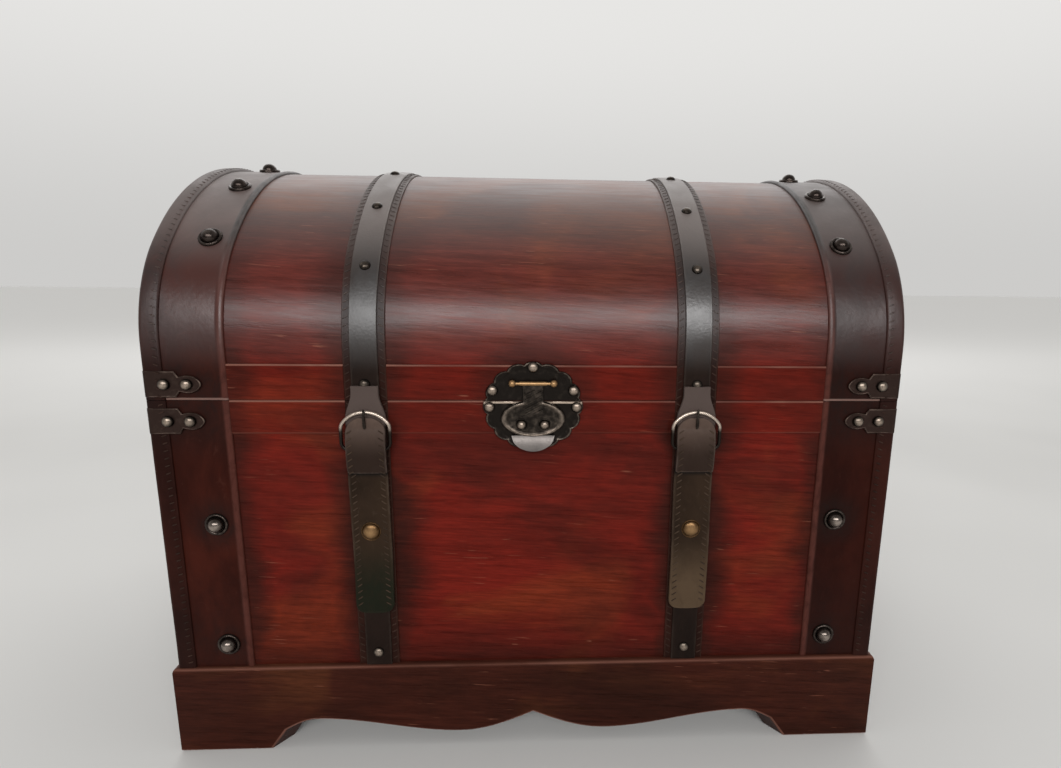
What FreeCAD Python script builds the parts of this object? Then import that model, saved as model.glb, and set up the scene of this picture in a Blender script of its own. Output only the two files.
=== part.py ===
import FreeCAD, Part
import math
import os
import Sketcher

# Domed wooden storage chest with leather straps, buckles and a hasp.
# Millimetres. Origin on the floor under the middle of the chest; +X right, +Y back, +Z up.

SIZES = {
    # Box and lid, wood to wood
    "chest_width": 597.0,
    "chest_depth": 397.0,
    "seam_height": 311.0,
    "seam_gap": 0.4,
    "lid_upright": 39.0,
    "lid_rise": 191.5,
    "shoulder_radius": 117.0,
    "wall": 12.0,
    "wall_lap": 4.0,
    "floor_panel": 8.0,
    "floor_groove": 6.0,
    "floor_lift": 8.0,
    "lid_panel": 4.0,
    "lid_rail_height": 36.0,
    # Clearances
    "fit_gap": 0.3,
    "glue_gap": 0.15,
    "running_gap": 0.05,
    "overrun": 5.0,
    # Plinth
    "plinth_height": 79.0,
    "plinth_proud": 6.0,
    "plinth_round": 3.0,
    "foot_width": 76.0,
    "foot_slope_run": 13.0,
    "foot_slope_height": 18.0,
    "skirt_corner_radius": 24.0,
    "skirt_peak_height": 28.0,
    "skirt_trough_height": 13.3,
    "skirt_cusp_height": 31.0,
    "block_leg": 42.0,
    "block_lift": 16.0,
    "block_drop": 4.0,
    # Leather bands, edge bindings and trim strips
    "band_width": 60.5,
    "band_thickness": 1.5,
    "binding_width": 13.0,
    "binding_thickness": 1.9,
    "trim_thickness": 1.5,
    "lid_trim_height": 28.5,
    "body_trim_height": 27.0,
    # Straps nailed to the wood
    "strap_base_width": 33.5,
    "strap_base_thickness": 1.5,
    "strap_width": 21.5,
    "strap_thickness": 1.5,
    "strap_end_lift": 5.0,
    # Loose strap ends with their buckles and snaps
    "flap_width": 31.5,
    "flap_thickness": 2.6,
    "flap_lift": 6.5,
    "flap_end_lift": 51.0,
    "flap_end_radius": 11.0,
    "tab_width": 33.0,
    "tab_thickness": 2.0,
    "tab_top_drop": 20.5,
    "tab_end_drop": 57.5,
    "tab_bend_reach": 15.0,
    "snap_diameter": 16.0,
    "snap_rise": 3.4,
    "snap_rim": 0.8,
    "snap_stud_diameter": 10.0,
    "snap_stud_rise": 1.0,
    "buckle_width": 41.0,
    "buckle_top_drop": 6.3,
    "buckle_bar_drop": 38.0,
    "buckle_rod": 3.4,
    "buckle_corner": 6.0,
    "buckle_arch_rise": 13.0,
    "buckle_shoulder": 7.0,
    "prong_rod": 2.6,
    "prong_length": 16.0,
    "prong_overhang": 1.6,
    # Studs and nails
    "stud_diameter": 18.6,
    "stud_rise": 7.6,
    "stud_rim": 2.0,
    "stud_ledge": 2.6,
    "nail_diameter": 9.0,
    "nail_rise": 2.6,
    "stud_edge": 41.5,
    "stud_low_lift": 21.0,
    "stud_high_lift": 129.0,
    "strap_nail_low_lift": 12.0,
    "strap_nail_seam_lift": 13.5,
    # Corner brackets
    "bracket_length": 44.0,
    "bracket_height": 20.5,
    "bracket_thickness": 0.9,
    "bracket_lid_lift": 2.5,
    "bracket_body_drop": 6.0,
    "bracket_nail_outer": 17.0,
    "bracket_nail_inner": 34.0,
    # Lock plate and hasp
    "lock_drop": 4.0,
    "lock_valley_radius": 37.6,
    "lock_lobe_rise": 2.6,
    "lock_thickness": 1.5,
    "lock_nail_top": 31.6,
    "lock_nail_upper_side": 32.4,
    "lock_nail_upper_lift": 12.8,
    "lock_nail_lower_side": 35.0,
    "lock_nail_lower_drop": 0.7,
    "pin_lift": 15.0,
    "pin_rod": 3.6,
    "pin_ball": 6.0,
    "pin_length": 40.0,
    "knuckle_diameter": 6.4,
    "lug_width": 3.0,
    "lug_height": 4.4,
    "hasp_neck_width": 22.0,
    "hasp_neck_drop": 14.5,
    "hasp_width": 52.0,
    "hasp_widest_drop": 29.0,
    "hasp_foot_width": 34.0,
    "hasp_foot_drop": 43.5,
    "hasp_shoulder_radius": 15.0,
    "hasp_cheek_radius": 17.0,
    "hasp_thickness": 2.2,
    "hasp_lip_radius": 9.0,
    "hasp_eye_spacing": 18.5,
    "hasp_eye_drop": 33.4,
    "hasp_eye_diameter": 10.0,
    "hasp_eye_rise": 3.6,
    # Butt hinges on the back
    "hinge_width": 50.0,
    "hinge_leaf_height": 24.0,
    "hinge_leaf_thickness": 1.5,
    "hinge_barrel": 7.0,
    "hinge_pin": 3.6,
    "hinge_middle_knuckle": 20.0,
    "hinge_pin_overhang": 1.0,
    "screw_diameter": 7.0,
    "screw_rise": 1.6,
    "screw_edge": 8.0,
}

# Places along a length, as shares of it
STRAP_PLACE_SHARE = 0.4422
SNAP_PLACE_SHARE = 0.591
LID_STUD_SHARES = (-0.819, -0.506, -0.155, 0.155, 0.506, 0.819)
LID_NAIL_SHARES = (-0.904, -0.657, -0.27, 0.27, 0.657, 0.904)
SKIRT_PEAK_SHARE = 0.82
SKIRT_TROUGH_SHARE = 0.28
BRACKET_WAIST_SHARE = 0.55
BRACKET_NOTCH_SHARES = (0.62, 0.22)
BRACKET_TIP_RADIUS_SHARE = 0.28
LOCK_TALL_SHARE = 0.9
LOCK_LOBES = 16
LOBE_STEPS = 4
DOME_SHARES = ((1.0, 0.0), (0.78, 0.62), (0.38, 1.0))
STUD_SIDES = 10
NAIL_SIDES = 8
SCREW_SIDES = 6
ROD_SIDES = 8
BALL_CAP_DEGREES = 55

doc = FreeCAD.newDocument("DomedChest")
sheet = doc.addObject("Spreadsheet::Sheet", "Sizes")
for row, (alias, number) in enumerate(SIZES.items(), start=1):
    sheet.set(f"A{row}", alias)
    sheet.set(f"B{row}", str(number))
    sheet.setAlias(f"B{row}", alias)
doc.recompute()


class Size:
    """A length that carries its value and the sheet expression that makes it."""

    def __init__(self, value, text):
        self.value = value
        self.text = text

    def __add__(self, other):
        other = as_size(other)
        return Size(self.value + other.value, f"({self.text} + {other.text})")

    def __sub__(self, other):
        other = as_size(other)
        return Size(self.value - other.value, f"({self.text} - {other.text})")

    def __mul__(self, other):
        other = as_size(other)
        return Size(self.value * other.value, f"({self.text} * {other.text})")

    def __truediv__(self, other):
        other = as_size(other)
        return Size(self.value / other.value, f"({self.text} / {other.text})")

    def __neg__(self):
        return self * -1

    def root(self):
        return Size(math.sqrt(self.value), f"sqrt({self.text})")


def as_size(number):
    if isinstance(number, Size):
        return number
    plain = round(float(number), 9)
    return Size(plain, f"({plain:.9f})")


def size(alias):
    return Size(float(sheet.get(alias)), f"Sizes.{alias}")


ZERO = as_size(0)
nodes = {}
cuts = []


def keep(item):
    """Registers an object as a sub-part that is written to its own file."""
    nodes[item.Label] = item
    return item


# Sketches and features


def arc_between(start, end, radius, turn):
    """The smaller arc from start to end; turn is 1 counter-clockwise and -1 clockwise."""
    if turn < 0:
        start, end = end, start
    chord = end - start
    half_chord = chord.Length / 2
    rise = math.sqrt(max(radius ** 2 - half_chord ** 2, 0))
    left = FreeCAD.Vector(-chord.y, chord.x, 0).normalize()
    centre = (start + end) / 2 + left * rise
    first = math.atan2(start.y - centre.y, start.x - centre.x)
    last = math.atan2(end.y - centre.y, end.x - centre.x)
    if last <= first:
        last += 2 * math.pi
    circle = Part.Circle(centre, FreeCAD.Vector(0, 0, 1), radius)
    return Part.ArcOfCircle(circle, first, last)


def sketch_on(body, role, lift=None):
    sketch = body.newObject("Sketcher::SketchObject", f"{body.Name}_sketch")
    plane = next(item for item in body.Origin.OriginFeatures if item.Role == role)
    sketch.AttachmentSupport = (plane, "")
    sketch.MapMode = "FlatFace"
    if lift is not None:
        sketch.setExpression("AttachmentOffset.Base.z", lift.text)
    return sketch


def bind(sketch, rules):
    """Adds constraints and ties each one that has a size to the sheet."""
    indexes = sketch.addConstraint([rule for rule, tied in rules])
    for index, (rule, tied) in zip(indexes, rules):
        if tied is not None:
            sketch.setExpression(f"Constraints[{index}]", tied.text)


def outline(body, role, corners, closed=True, lift=None):
    """A sketch through corners (x, y); (x, y, radius, turn) reaches its corner by an arc."""
    sketch = sketch_on(body, role, lift)
    corners = [(as_size(corner[0]), as_size(corner[1])) + tuple(corner[2:]) for corner in corners]
    points = [FreeCAD.Vector(corner[0].value, corner[1].value, 0) for corner in corners]
    shapes = []
    ends = []
    rules = []
    first = 0 if closed else 1
    for index in range(first, len(corners)):
        corner = corners[index]
        geo = len(shapes)
        if len(corner) > 2:
            shapes.append(arc_between(points[index - 1], points[index], corner[2].value, corner[3]))
            ends.append((1, 2) if corner[3] > 0 else (2, 1))
            rules.append((Sketcher.Constraint("Radius", geo, corner[2].value), corner[2]))
        else:
            shapes.append(Part.LineSegment(points[index - 1], points[index]))
            ends.append((1, 2))
    count = len(shapes)
    for geo in range(count):
        after = (geo + 1) % count
        if closed or after:
            joint = Sketcher.Constraint("Coincident", geo, ends[geo][1], after, ends[after][0])
            rules.append((joint, None))
    held = [(geo, ends[geo][1], corners[geo + first]) for geo in range(count)]
    if not closed:
        held.append((0, ends[0][0], corners[0]))
    for geo, place_in_geo, corner in held:
        across = Sketcher.Constraint("DistanceX", -1, 1, geo, place_in_geo, corner[0].value)
        upward = Sketcher.Constraint("DistanceY", -1, 1, geo, place_in_geo, corner[1].value)
        rules.append((across, corner[0]))
        rules.append((upward, corner[1]))
    sketch.addGeometry(shapes, False)
    bind(sketch, rules)
    return sketch


def circle_sketch(body, role, centre, radius, lift=None):
    sketch = sketch_on(body, role, lift)
    across, upward = as_size(centre[0]), as_size(centre[1])
    middle = FreeCAD.Vector(across.value, upward.value, 0)
    geo = sketch.addGeometry(Part.Circle(middle, FreeCAD.Vector(0, 0, 1), radius.value), False)
    bind(sketch, [
        (Sketcher.Constraint("DistanceX", -1, 1, geo, 3, across.value), across),
        (Sketcher.Constraint("DistanceY", -1, 1, geo, 3, upward.value), upward),
        (Sketcher.Constraint("Radius", geo, radius.value), radius),
    ])
    return sketch


def new_body(label):
    return doc.addObject("PartDesign::Body", label)


def pad(body, sketch, length, symmetric=False, reverse=False):
    feature = body.newObject("PartDesign::Pad", f"{body.Name}_pad")
    feature.Profile = sketch
    feature.setExpression("Length", length.text)
    feature.Reversed = reverse
    if symmetric:
        feature.SideType = "Symmetric"
    return feature


def pocket(body, sketch):
    """Cuts the sketch right through the body, both ways from its plane."""
    feature = body.newObject("PartDesign::Pocket", f"{body.Name}_pocket")
    feature.Profile = sketch
    feature.Type = "ThroughAll"
    feature.SideType = "Symmetric"
    cuts.append(feature)
    return feature


def sweep(body, profile, path):
    feature = body.newObject("PartDesign::AdditivePipe", f"{body.Name}_sweep")
    feature.Profile = profile
    feature.Spine = (path, [])
    return feature


def fillet(body, base, radius, chosen):
    """Rounds the edges of base whose two ends satisfy chosen."""
    doc.recompute()
    names = [
        f"Edge{number}"
        for number, edge in enumerate(base.Shape.Edges, start=1)
        if len(edge.Vertexes) == 2 and chosen(edge.Vertexes[0].Point, edge.Vertexes[1].Point)
    ]
    feature = body.newObject("PartDesign::Fillet", f"{body.Name}_fillet")
    feature.Base = (base, names)
    feature.setExpression("Radius", radius.text)
    return feature


def place(item, across=ZERO, back=ZERO, up=ZERO):
    for axis, offset in (("x", across), ("y", back), ("z", up)):
        item.setExpression(f"Placement.Base.{axis}", offset.text)
    return item


def rectangle(low, high):
    return [(low[0], low[1]), (high[0], low[1]), (high[0], high[1]), (low[0], high[1])]


def board(label, low, high):
    """A square-edged board between two corners."""
    box = doc.addObject("Part::Box", label)
    for prop, near, far in zip(("Length", "Width", "Height"), low, high):
        box.setExpression(prop, (far - near).text)
    return place(box, *low)


def group(label, items):
    """Several separate solids in one node."""
    compound = doc.addObject("Part::Compound", label)
    compound.Links = items
    return keep(compound)


def near(value, wanted):
    return abs(value - wanted.value) < size("glue_gap").value


# Driving sizes and the ones that follow from them

half_width = size("chest_width") / 2
half_depth = size("chest_depth") / 2
wall = size("wall")
fit = size("fit_gap")
glue = size("glue_gap")
overrun = size("overrun")
seam = size("seam_height")
lid_foot = seam + size("seam_gap")
plinth_top = size("plinth_height")
strap_x = half_width * STRAP_PLACE_SHARE
plinth_board = wall + size("plinth_proud")
band_inner = half_width - size("band_width")
band_face = glue + size("band_thickness")
binding_face = band_face + glue + size("binding_thickness")
trim_face = glue + size("trim_thickness")
base_face = glue + size("strap_base_thickness")
strap_face = base_face + glue + size("strap_thickness")
lock_face = trim_face + glue + size("lock_thickness")
bracket_face = binding_face + glue + size("bracket_thickness")
SIDES = (("left", -1), ("right", 1))


class Arch:
    """Three-centre arch: straight sides, two shoulders and a flatter crown, all tangent."""

    def __init__(self, half_span, spring, crest, shoulder):
        rise = crest - spring
        reach = half_span - shoulder
        self.half_span = half_span
        self.spring = spring
        self.shoulder = shoulder
        self.crown = (reach * reach + rise * rise - shoulder * shoulder) / ((rise - shoulder) * 2)
        self.crown_centre = crest - self.crown
        between = self.crown - shoulder
        self.lean = reach / between
        self.climb = (self.crown - rise) / between

    def over(self, offset, turn):
        """Corners of the arch from one spring point to the other, offset outwards."""
        radius = self.shoulder + offset
        crown = self.crown + offset
        side = self.half_span + offset
        meet = self.lean * crown
        height = self.crown_centre + self.climb * crown
        start = as_size(turn)
        return [
            (side * start, self.spring),
            (meet * start, height, radius, turn),
            (meet * -start.value, height, crown, turn),
            (side * -start.value, self.spring, radius, turn),
        ]

    def ring(self, inner, outer, foot):
        """Closed strip between two offsets, standing on foot at both ends."""
        outside = self.half_span + outer
        inside = self.half_span + inner
        return (
            [(-outside, foot)] + self.over(outer, -1) + [(outside, foot)]
            + [(inside, foot)] + self.over(inner, 1) + [(-inside, foot)]
        )

    def filled(self, offset, foot):
        side = self.half_span + offset
        return [(-side, foot)] + self.over(offset, -1) + [(side, foot)]

    def surface(self, along, offset):
        """Point and outward normal of the offset surface at a distance along the depth."""
        shoulder_centre = self.half_span.value - self.shoulder.value
        meet = self.lean.value * self.crown.value
        if abs(along) > meet:
            centre = FreeCAD.Vector(0, math.copysign(shoulder_centre, along), self.spring.value)
            radius = self.shoulder.value
        else:
            centre = FreeCAD.Vector(0, 0, self.crown_centre.value)
            radius = self.crown.value
        sideways = along - centre.y
        normal = FreeCAD.Vector(0, sideways, math.sqrt(radius ** 2 - sideways ** 2)).normalize()
        return centre + normal * (radius + offset.value), normal


lid_arch = Arch(half_depth, seam + size("lid_upright"), seam + size("lid_rise"), size("shoulder_radius"))


# Box walls and floor

groove_low = plinth_top + size("floor_lift")
groove_high = groove_low + size("floor_panel") + fit
wall_inner_x = half_width - wall
wall_inner_y = half_depth - wall


def long_wall(label, side):
    """Front or back board with a rabbet at each end for the end boards."""
    outer = half_depth * side
    lap = (half_depth - size("wall_lap")) * side
    inner = wall_inner_y * side
    body = new_body(label)
    plan = [
        (-half_width, outer), (half_width, outer), (half_width, lap), (wall_inner_x, lap),
        (wall_inner_x, inner), (-wall_inner_x, inner), (-wall_inner_x, lap), (-half_width, lap),
    ]
    pad(body, outline(body, "XY_Plane", plan), seam - plinth_top)
    low = (wall_inner_y + size("floor_groove")) * side
    high = (wall_inner_y - overrun) * side
    groove = rectangle((low, groove_low - plinth_top), (high, groove_high - plinth_top))
    pocket(body, outline(body, "YZ_Plane", groove))
    return keep(place(body, up=plinth_top))


def end_wall(label, side):
    end = half_depth - size("wall_lap")
    body = new_body(label)
    plan = rectangle((wall_inner_x * side, -end), (half_width * side, end))
    pad(body, outline(body, "XY_Plane", plan), seam - plinth_top)
    low = (wall_inner_x + size("floor_groove")) * side
    high = (wall_inner_x - overrun) * side
    groove = rectangle((low, groove_low - plinth_top), (high, groove_high - plinth_top))
    pocket(body, outline(body, "XZ_Plane", groove))
    return keep(place(body, up=plinth_top))


long_wall("front_wall", -1)
long_wall("back_wall", 1)
for word, side in SIDES:
    end_wall(f"{word}_wall", side)

floor_reach_x = wall_inner_x + size("floor_groove") - fit
floor_reach_y = wall_inner_y + size("floor_groove") - fit
keep(board(
    "floor_panel",
    (-floor_reach_x, -floor_reach_y, groove_low),
    (floor_reach_x, floor_reach_y, groove_low + size("floor_panel")),
))


# Plinth with a shaped skirt

plinth_half_x = half_width + size("plinth_proud")
plinth_half_y = half_depth + size("plinth_proud")


def skirt(half_length):
    """Lower edge of a plinth board: sloped feet, a peak, a trough and a middle cusp."""
    foot = half_length - size("foot_width")
    slope = foot - size("foot_slope_run")
    peak = foot * SKIRT_PEAK_SHARE
    trough = foot * SKIRT_TROUGH_SHARE
    peak_height = size("skirt_peak_height")
    trough_height = size("skirt_trough_height")
    cusp_height = size("skirt_cusp_height")
    fall = peak_height - trough_height
    run = peak - trough
    wave = (run * run + fall * fall) / (fall * 4)
    climb = cusp_height - trough_height
    rise = (trough * trough + climb * climb) / (climb * 2)
    corner = size("skirt_corner_radius")
    middle = (peak + trough) / 2
    middle_height = (peak_height + trough_height) / 2
    slope_height = size("foot_slope_height")
    return [
        (-foot, -overrun), (foot, -overrun), (foot, ZERO), (slope, slope_height),
        (peak, peak_height, corner, 1), (middle, middle_height, wave, 1),
        (trough, trough_height, wave, -1), (ZERO, cusp_height, rise, -1),
        (-trough, trough_height, rise, -1), (-middle, middle_height, wave, -1),
        (-peak, peak_height, wave, 1), (-slope, slope_height, corner, 1), (-foot, ZERO),
    ]


def plinth_side(label, side, half_length, half_other, facing):
    """One mitred plinth board; facing is the plane that its face is drawn on."""
    body = new_body(label)
    outer = half_other * side
    inner = (half_other - plinth_board) * side
    short = half_length - plinth_board
    plan = [(-half_length, outer), (half_length, outer), (short, inner), (-short, inner)]
    if facing == "YZ_Plane":
        plan = [(across, along) for along, across in plan]
    pad(body, outline(body, "XY_Plane", plan), plinth_top)
    cut = pocket(body, outline(body, facing, skirt(half_length)))
    depth_axis = "y" if facing == "XZ_Plane" else "x"

    def on_top_edge(*ends):
        return all(near(end.z, plinth_top) and near(getattr(end, depth_axis), outer) for end in ends)

    fillet(body, cut, size("plinth_round"), on_top_edge)
    return keep(body)


plinth_side("plinth_front", -1, plinth_half_x, plinth_half_y, "XZ_Plane")
plinth_side("plinth_back", 1, plinth_half_x, plinth_half_y, "XZ_Plane")
for word, side in SIDES:
    plinth_side(f"plinth_{word}", side, plinth_half_y, plinth_half_x, "YZ_Plane")


def corner_block(across, back):
    """Triangular glue block in an inner corner of the plinth."""
    body = new_body("corner_block")
    corner_x = wall_inner_x * across
    corner_y = wall_inner_y * back
    leg_x = (wall_inner_x - size("block_leg")) * across
    leg_y = (wall_inner_y - size("block_leg")) * back
    plan = [(corner_x, corner_y), (leg_x, corner_y), (corner_x, leg_y)]
    height = plinth_top - size("block_lift") - size("block_drop")
    pad(body, outline(body, "XY_Plane", plan), height)
    return place(body, up=size("block_lift"))


group("plinth_corner_blocks", [corner_block(x, y) for x in (-1, 1) for y in (-1, 1)])


# Lid frame and bent panel


def extruded(label, corners, start, length):
    """A profile drawn in the YZ plane and pushed along X from start."""
    body = new_body(label)
    pad(body, outline(body, "YZ_Plane", corners), length)
    return place(body, across=start)


lid_inside = ZERO - size("lid_panel")
keep(extruded("lid_dome_panel", lid_arch.ring(lid_inside, ZERO, lid_foot), -half_width, size("chest_width")))
end_profile = lid_arch.filled(lid_inside - glue, lid_foot)
keep(extruded("lid_left_end", end_profile, -half_width, wall))
keep(extruded("lid_right_end", end_profile, wall_inner_x, wall))

rail_outer = half_depth - size("lid_panel") - glue
rail_top = lid_foot + size("lid_rail_height")
keep(board(
    "lid_front_rail",
    (-wall_inner_x, -rail_outer, lid_foot),
    (wall_inner_x, wall - rail_outer, rail_top),
))
keep(board(
    "lid_back_rail",
    (-wall_inner_x, rail_outer - wall, lid_foot),
    (wall_inner_x, rail_outer, rail_top),
))


# Bands, bindings, trim strips and straps that are fixed to the wood


def flat_layer(label, low_x, high_x, side, inner, outer, low_z, high_z):
    """A strip of leather lying flat on the front or the back of the box."""
    near_y = (half_depth + (inner if side > 0 else outer)) * side
    far_y = (half_depth + (outer if side > 0 else inner)) * side
    return board(label, (low_x, near_y, low_z), (high_x, far_y, high_z))


for word, side in SIDES:
    low_x = -half_width if side < 0 else band_inner
    profile = lid_arch.ring(glue, band_face, lid_foot)
    keep(extruded(f"lid_band_{word}", profile, low_x, size("band_width")))
    band = flat_layer(
        f"body_band_front_{word}", low_x, low_x + size("band_width"), -1, glue, band_face, plinth_top, seam
    )
    keep(band)
back_bands = [
    flat_layer("back_band", low_x, low_x + size("band_width"), 1, glue, band_face, plinth_top, seam)
    for low_x in (-half_width, band_inner)
]
group("body_bands_back", back_bands)

binding_end = half_width + glue + size("binding_thickness")
binding_inner = half_width - size("binding_width")


def lid_binding(label, side):
    """Edge binding of the lid: a strip over the band and a leg on the end board."""
    body = new_body(label)
    over_band = lid_arch.ring(band_face + glue, binding_face, lid_foot)
    on_end = lid_arch.ring(ZERO - size("binding_width"), binding_face, lid_foot)
    wide = outline(body, "YZ_Plane", over_band, lift=binding_inner * side)
    pad(body, wide, binding_end - binding_inner, reverse=side < 0)
    thin = outline(body, "YZ_Plane", on_end, lift=(half_width + glue) * side)
    pad(body, thin, size("binding_thickness"), reverse=side < 0)
    return keep(body)


def body_binding(side, back):
    """Upright L-section binding on one corner of the box."""
    body = new_body("upright_binding")
    outer_x = binding_end * side
    outer_y = (half_depth + binding_face) * back
    inner_x = (half_width + glue) * side
    inner_y = (half_depth + band_face + glue) * back
    plan = [
        (outer_x, outer_y), (binding_inner * side, outer_y), (binding_inner * side, inner_y),
        (inner_x, inner_y), (inner_x, (half_depth - size("binding_width")) * back),
        (outer_x, (half_depth - size("binding_width")) * back),
    ]
    pad(body, outline(body, "XY_Plane", plan), seam - plinth_top)
    return place(body, up=plinth_top)


for word, side in SIDES:
    lid_binding(f"lid_binding_{word}", side)
group("body_bindings", [body_binding(x, y) for x in (-1, 1) for y in (-1, 1)])

strap_inner = strap_x - size("strap_base_width") / 2
strap_outer = strap_x + size("strap_base_width") / 2
TRIM_SPANS = ((-band_inner, -strap_outer), (-strap_inner, strap_inner), (strap_outer, band_inner))


def trim_strip(label, low_z, high_z):
    """Front trim in three lengths between the bands and the straps."""
    lengths = [
        flat_layer("trim_length", low_x, high_x, -1, glue, trim_face, low_z, high_z)
        for low_x, high_x in TRIM_SPANS
    ]
    return group(label, lengths)


trim_strip("lid_trim_strip", lid_foot, lid_foot + size("lid_trim_height"))
trim_strip("body_trim_strip", seam - size("body_trim_height"), seam)

for word, side in SIDES:
    middle = strap_x * side
    base_start = middle - size("strap_base_width") / 2
    strap_start = middle - size("strap_width") / 2
    strap_foot = lid_foot + size("strap_end_lift")
    base_profile = lid_arch.ring(glue, base_face, lid_foot)
    strap_profile = lid_arch.ring(base_face + glue, strap_face, strap_foot)
    keep(extruded(f"lid_strap_base_{word}", base_profile, base_start, size("strap_base_width")))
    keep(extruded(f"lid_strap_{word}", strap_profile, strap_start, size("strap_width")))
    base_end = base_start + size("strap_base_width")
    strap_end = strap_start + size("strap_width")
    keep(flat_layer(
        f"body_strap_base_{word}", base_start, base_end, -1, glue, base_face, plinth_top, seam
    ))
    keep(flat_layer(
        f"body_strap_{word}", strap_start, strap_end, -1, base_face + glue, strap_face, plinth_top,
        seam - size("strap_end_lift"),
    ))


# Domed heads: studs, nails, screws and rivets


def faceted(rings, sides):
    """A flat-sided solid through level rings (radius, height) round the Z axis."""
    turns = [2 * math.pi * side / sides for side in range(sides)]
    loops = [
        [FreeCAD.Vector(radius * math.cos(turn), radius * math.sin(turn), height) for turn in turns]
        for radius, height in rings
    ]
    corners = [loops[0][::-1], loops[-1]]
    for lower, upper in zip(loops, loops[1:]):
        corners += [
            [lower[side - 1], lower[side], upper[side], upper[side - 1]] for side in range(sides)
        ]
    faces = [Part.Face(Part.makePolygon(loop + loop[:1])) for loop in corners]
    return Part.makeSolid(Part.makeShell(faces))


def domed_head(diameter, rise, sides, rim=ZERO, ledge=ZERO):
    """A domed head with a flat back, standing on an optional rim with a ledge."""
    radius = diameter.value / 2
    rings = [(radius, 0)] if rim.value else []
    rings += [
        ((radius - ledge.value) * across, rim.value + (rise - rim).value * upward)
        for across, upward in DOME_SHARES
    ]
    if ledge.value:
        rings.insert(1, (radius, rim.value / 2))
    return faceted(rings, sides)


def heads(label, master, seats):
    """Copies of one head, each turned from +Z to the normal of its seat."""
    copies = []
    for point, normal in seats:
        copy = master.copy()
        turn = FreeCAD.Rotation(FreeCAD.Vector(0, 0, 1), normal)
        copy.Placement = FreeCAD.Placement(point, turn)
        copies.append(copy)
    node = doc.addObject("Part::Feature", label)
    node.Shape = Part.makeCompound(copies)
    node.Placement = FreeCAD.Placement()
    return keep(node)


FRONT = FreeCAD.Vector(0, -1, 0)
BACK = FreeCAD.Vector(0, 1, 0)
ACROSS = FreeCAD.Rotation(FreeCAD.Vector(0, 0, 1), FreeCAD.Vector(1, 0, 0))


def front_seat(across, height, face):
    """A place on the front, at an offset from the wood."""
    return FreeCAD.Vector(across.value, -(half_depth + face).value, height.value), FRONT


def lid_seat(across, along, face):
    point, normal = lid_arch.surface(along.value, face)
    point.x = across.value
    return point, normal


stud = domed_head(
    size("stud_diameter"), size("stud_rise"), STUD_SIDES, size("stud_rim"), size("stud_ledge")
)
nail = domed_head(size("nail_diameter"), size("nail_rise"), NAIL_SIDES)
screw = domed_head(size("screw_diameter"), size("screw_rise"), SCREW_SIDES)

stud_x = half_width - size("stud_edge")
heads("body_band_studs", stud, [
    front_seat(stud_x * side, plinth_top + size(lift), band_face)
    for side in (-1, 1)
    for lift in ("stud_low_lift", "stud_high_lift")
])
heads("lid_band_studs", stud, [
    lid_seat(stud_x * side, half_depth * share, band_face) for side in (-1, 1) for share in LID_STUD_SHARES
])

bracket_lid_foot = lid_foot + size("bracket_lid_lift")
bracket_body_foot = seam - size("bracket_body_drop") - size("bracket_height")
bracket_end = binding_end + glue + size("bracket_thickness")
bracket_nail_places = [
    (bracket_end - size(alias)) * side
    for side in (-1, 1)
    for alias in ("bracket_nail_outer", "bracket_nail_inner")
]
bracket_middle = size("bracket_height") / 2
lock_centre = seam - size("lock_drop")
lock_low_nail = lock_centre - size("lock_nail_lower_drop")
body_nail_seats = [
    front_seat(strap_x * side, plinth_top + size("strap_nail_low_lift"), strap_face) for side in (-1, 1)
]
body_nail_seats += [
    front_seat(across, bracket_body_foot + bracket_middle, bracket_face) for across in bracket_nail_places
]
body_nail_seats += [
    front_seat(size("lock_nail_lower_side") * side, lock_low_nail, lock_face) for side in (-1, 1)
]
heads("body_nails", nail, body_nail_seats)

lid_nail_seats = [
    lid_seat(strap_x * side, half_depth * share, strap_face) for side in (-1, 1) for share in LID_NAIL_SHARES
]
lid_nail_seats += [
    front_seat(strap_x * side, seam + size("strap_nail_seam_lift"), strap_face) for side in (-1, 1)
]
lid_nail_seats += [
    front_seat(across, bracket_lid_foot + bracket_middle, bracket_face) for across in bracket_nail_places
]
lock_top_nail = lock_centre + size("lock_nail_top")
lock_side_nail = lock_centre + size("lock_nail_upper_lift")
lid_nail_seats.append(front_seat(ZERO, lock_top_nail, lock_face))
lid_nail_seats += [
    front_seat(size("lock_nail_upper_side") * side, lock_side_nail, lock_face) for side in (-1, 1)
]
heads("lid_nails", nail, lid_nail_seats)


# Corner brackets


def scroll(start, side, foot):
    """Face of a bracket leg: square at the corner, waisted, with a rounded tip."""
    length = size("bracket_length")
    height = size("bracket_height")
    waist = length * BRACKET_WAIST_SHARE
    notch = length * BRACKET_NOTCH_SHARES[0]
    notch_lift = height * BRACKET_NOTCH_SHARES[1]
    tip_radius = length * BRACKET_TIP_RADIUS_SHARE
    steps = [
        (ZERO, ZERO), (waist, ZERO), (notch, notch_lift),
        (length, height / 2, tip_radius, 1), (notch, height - notch_lift, tip_radius, 1),
        (waist, height), (ZERO, height),
    ]
    corners = []
    for step in steps:
        corner = ((start - step[0]) * side, foot + step[1])
        if len(step) > 2:
            corner += (step[2], -step[3] * side)
        corners.append(corner)
    return corners


def corner_bracket(side, foot):
    """Bent plate over a front corner, one leg on the front and one on the end."""
    body = new_body("corner_bracket")
    front_y = half_depth + bracket_face
    front = outline(body, "XZ_Plane", scroll(bracket_end, side, foot), lift=front_y)
    pad(body, front, size("bracket_thickness"), reverse=True)
    end = outline(body, "YZ_Plane", scroll(front_y, -1, foot), lift=bracket_end * side)
    pad(body, end, size("bracket_thickness"), reverse=side > 0)
    return body


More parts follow.
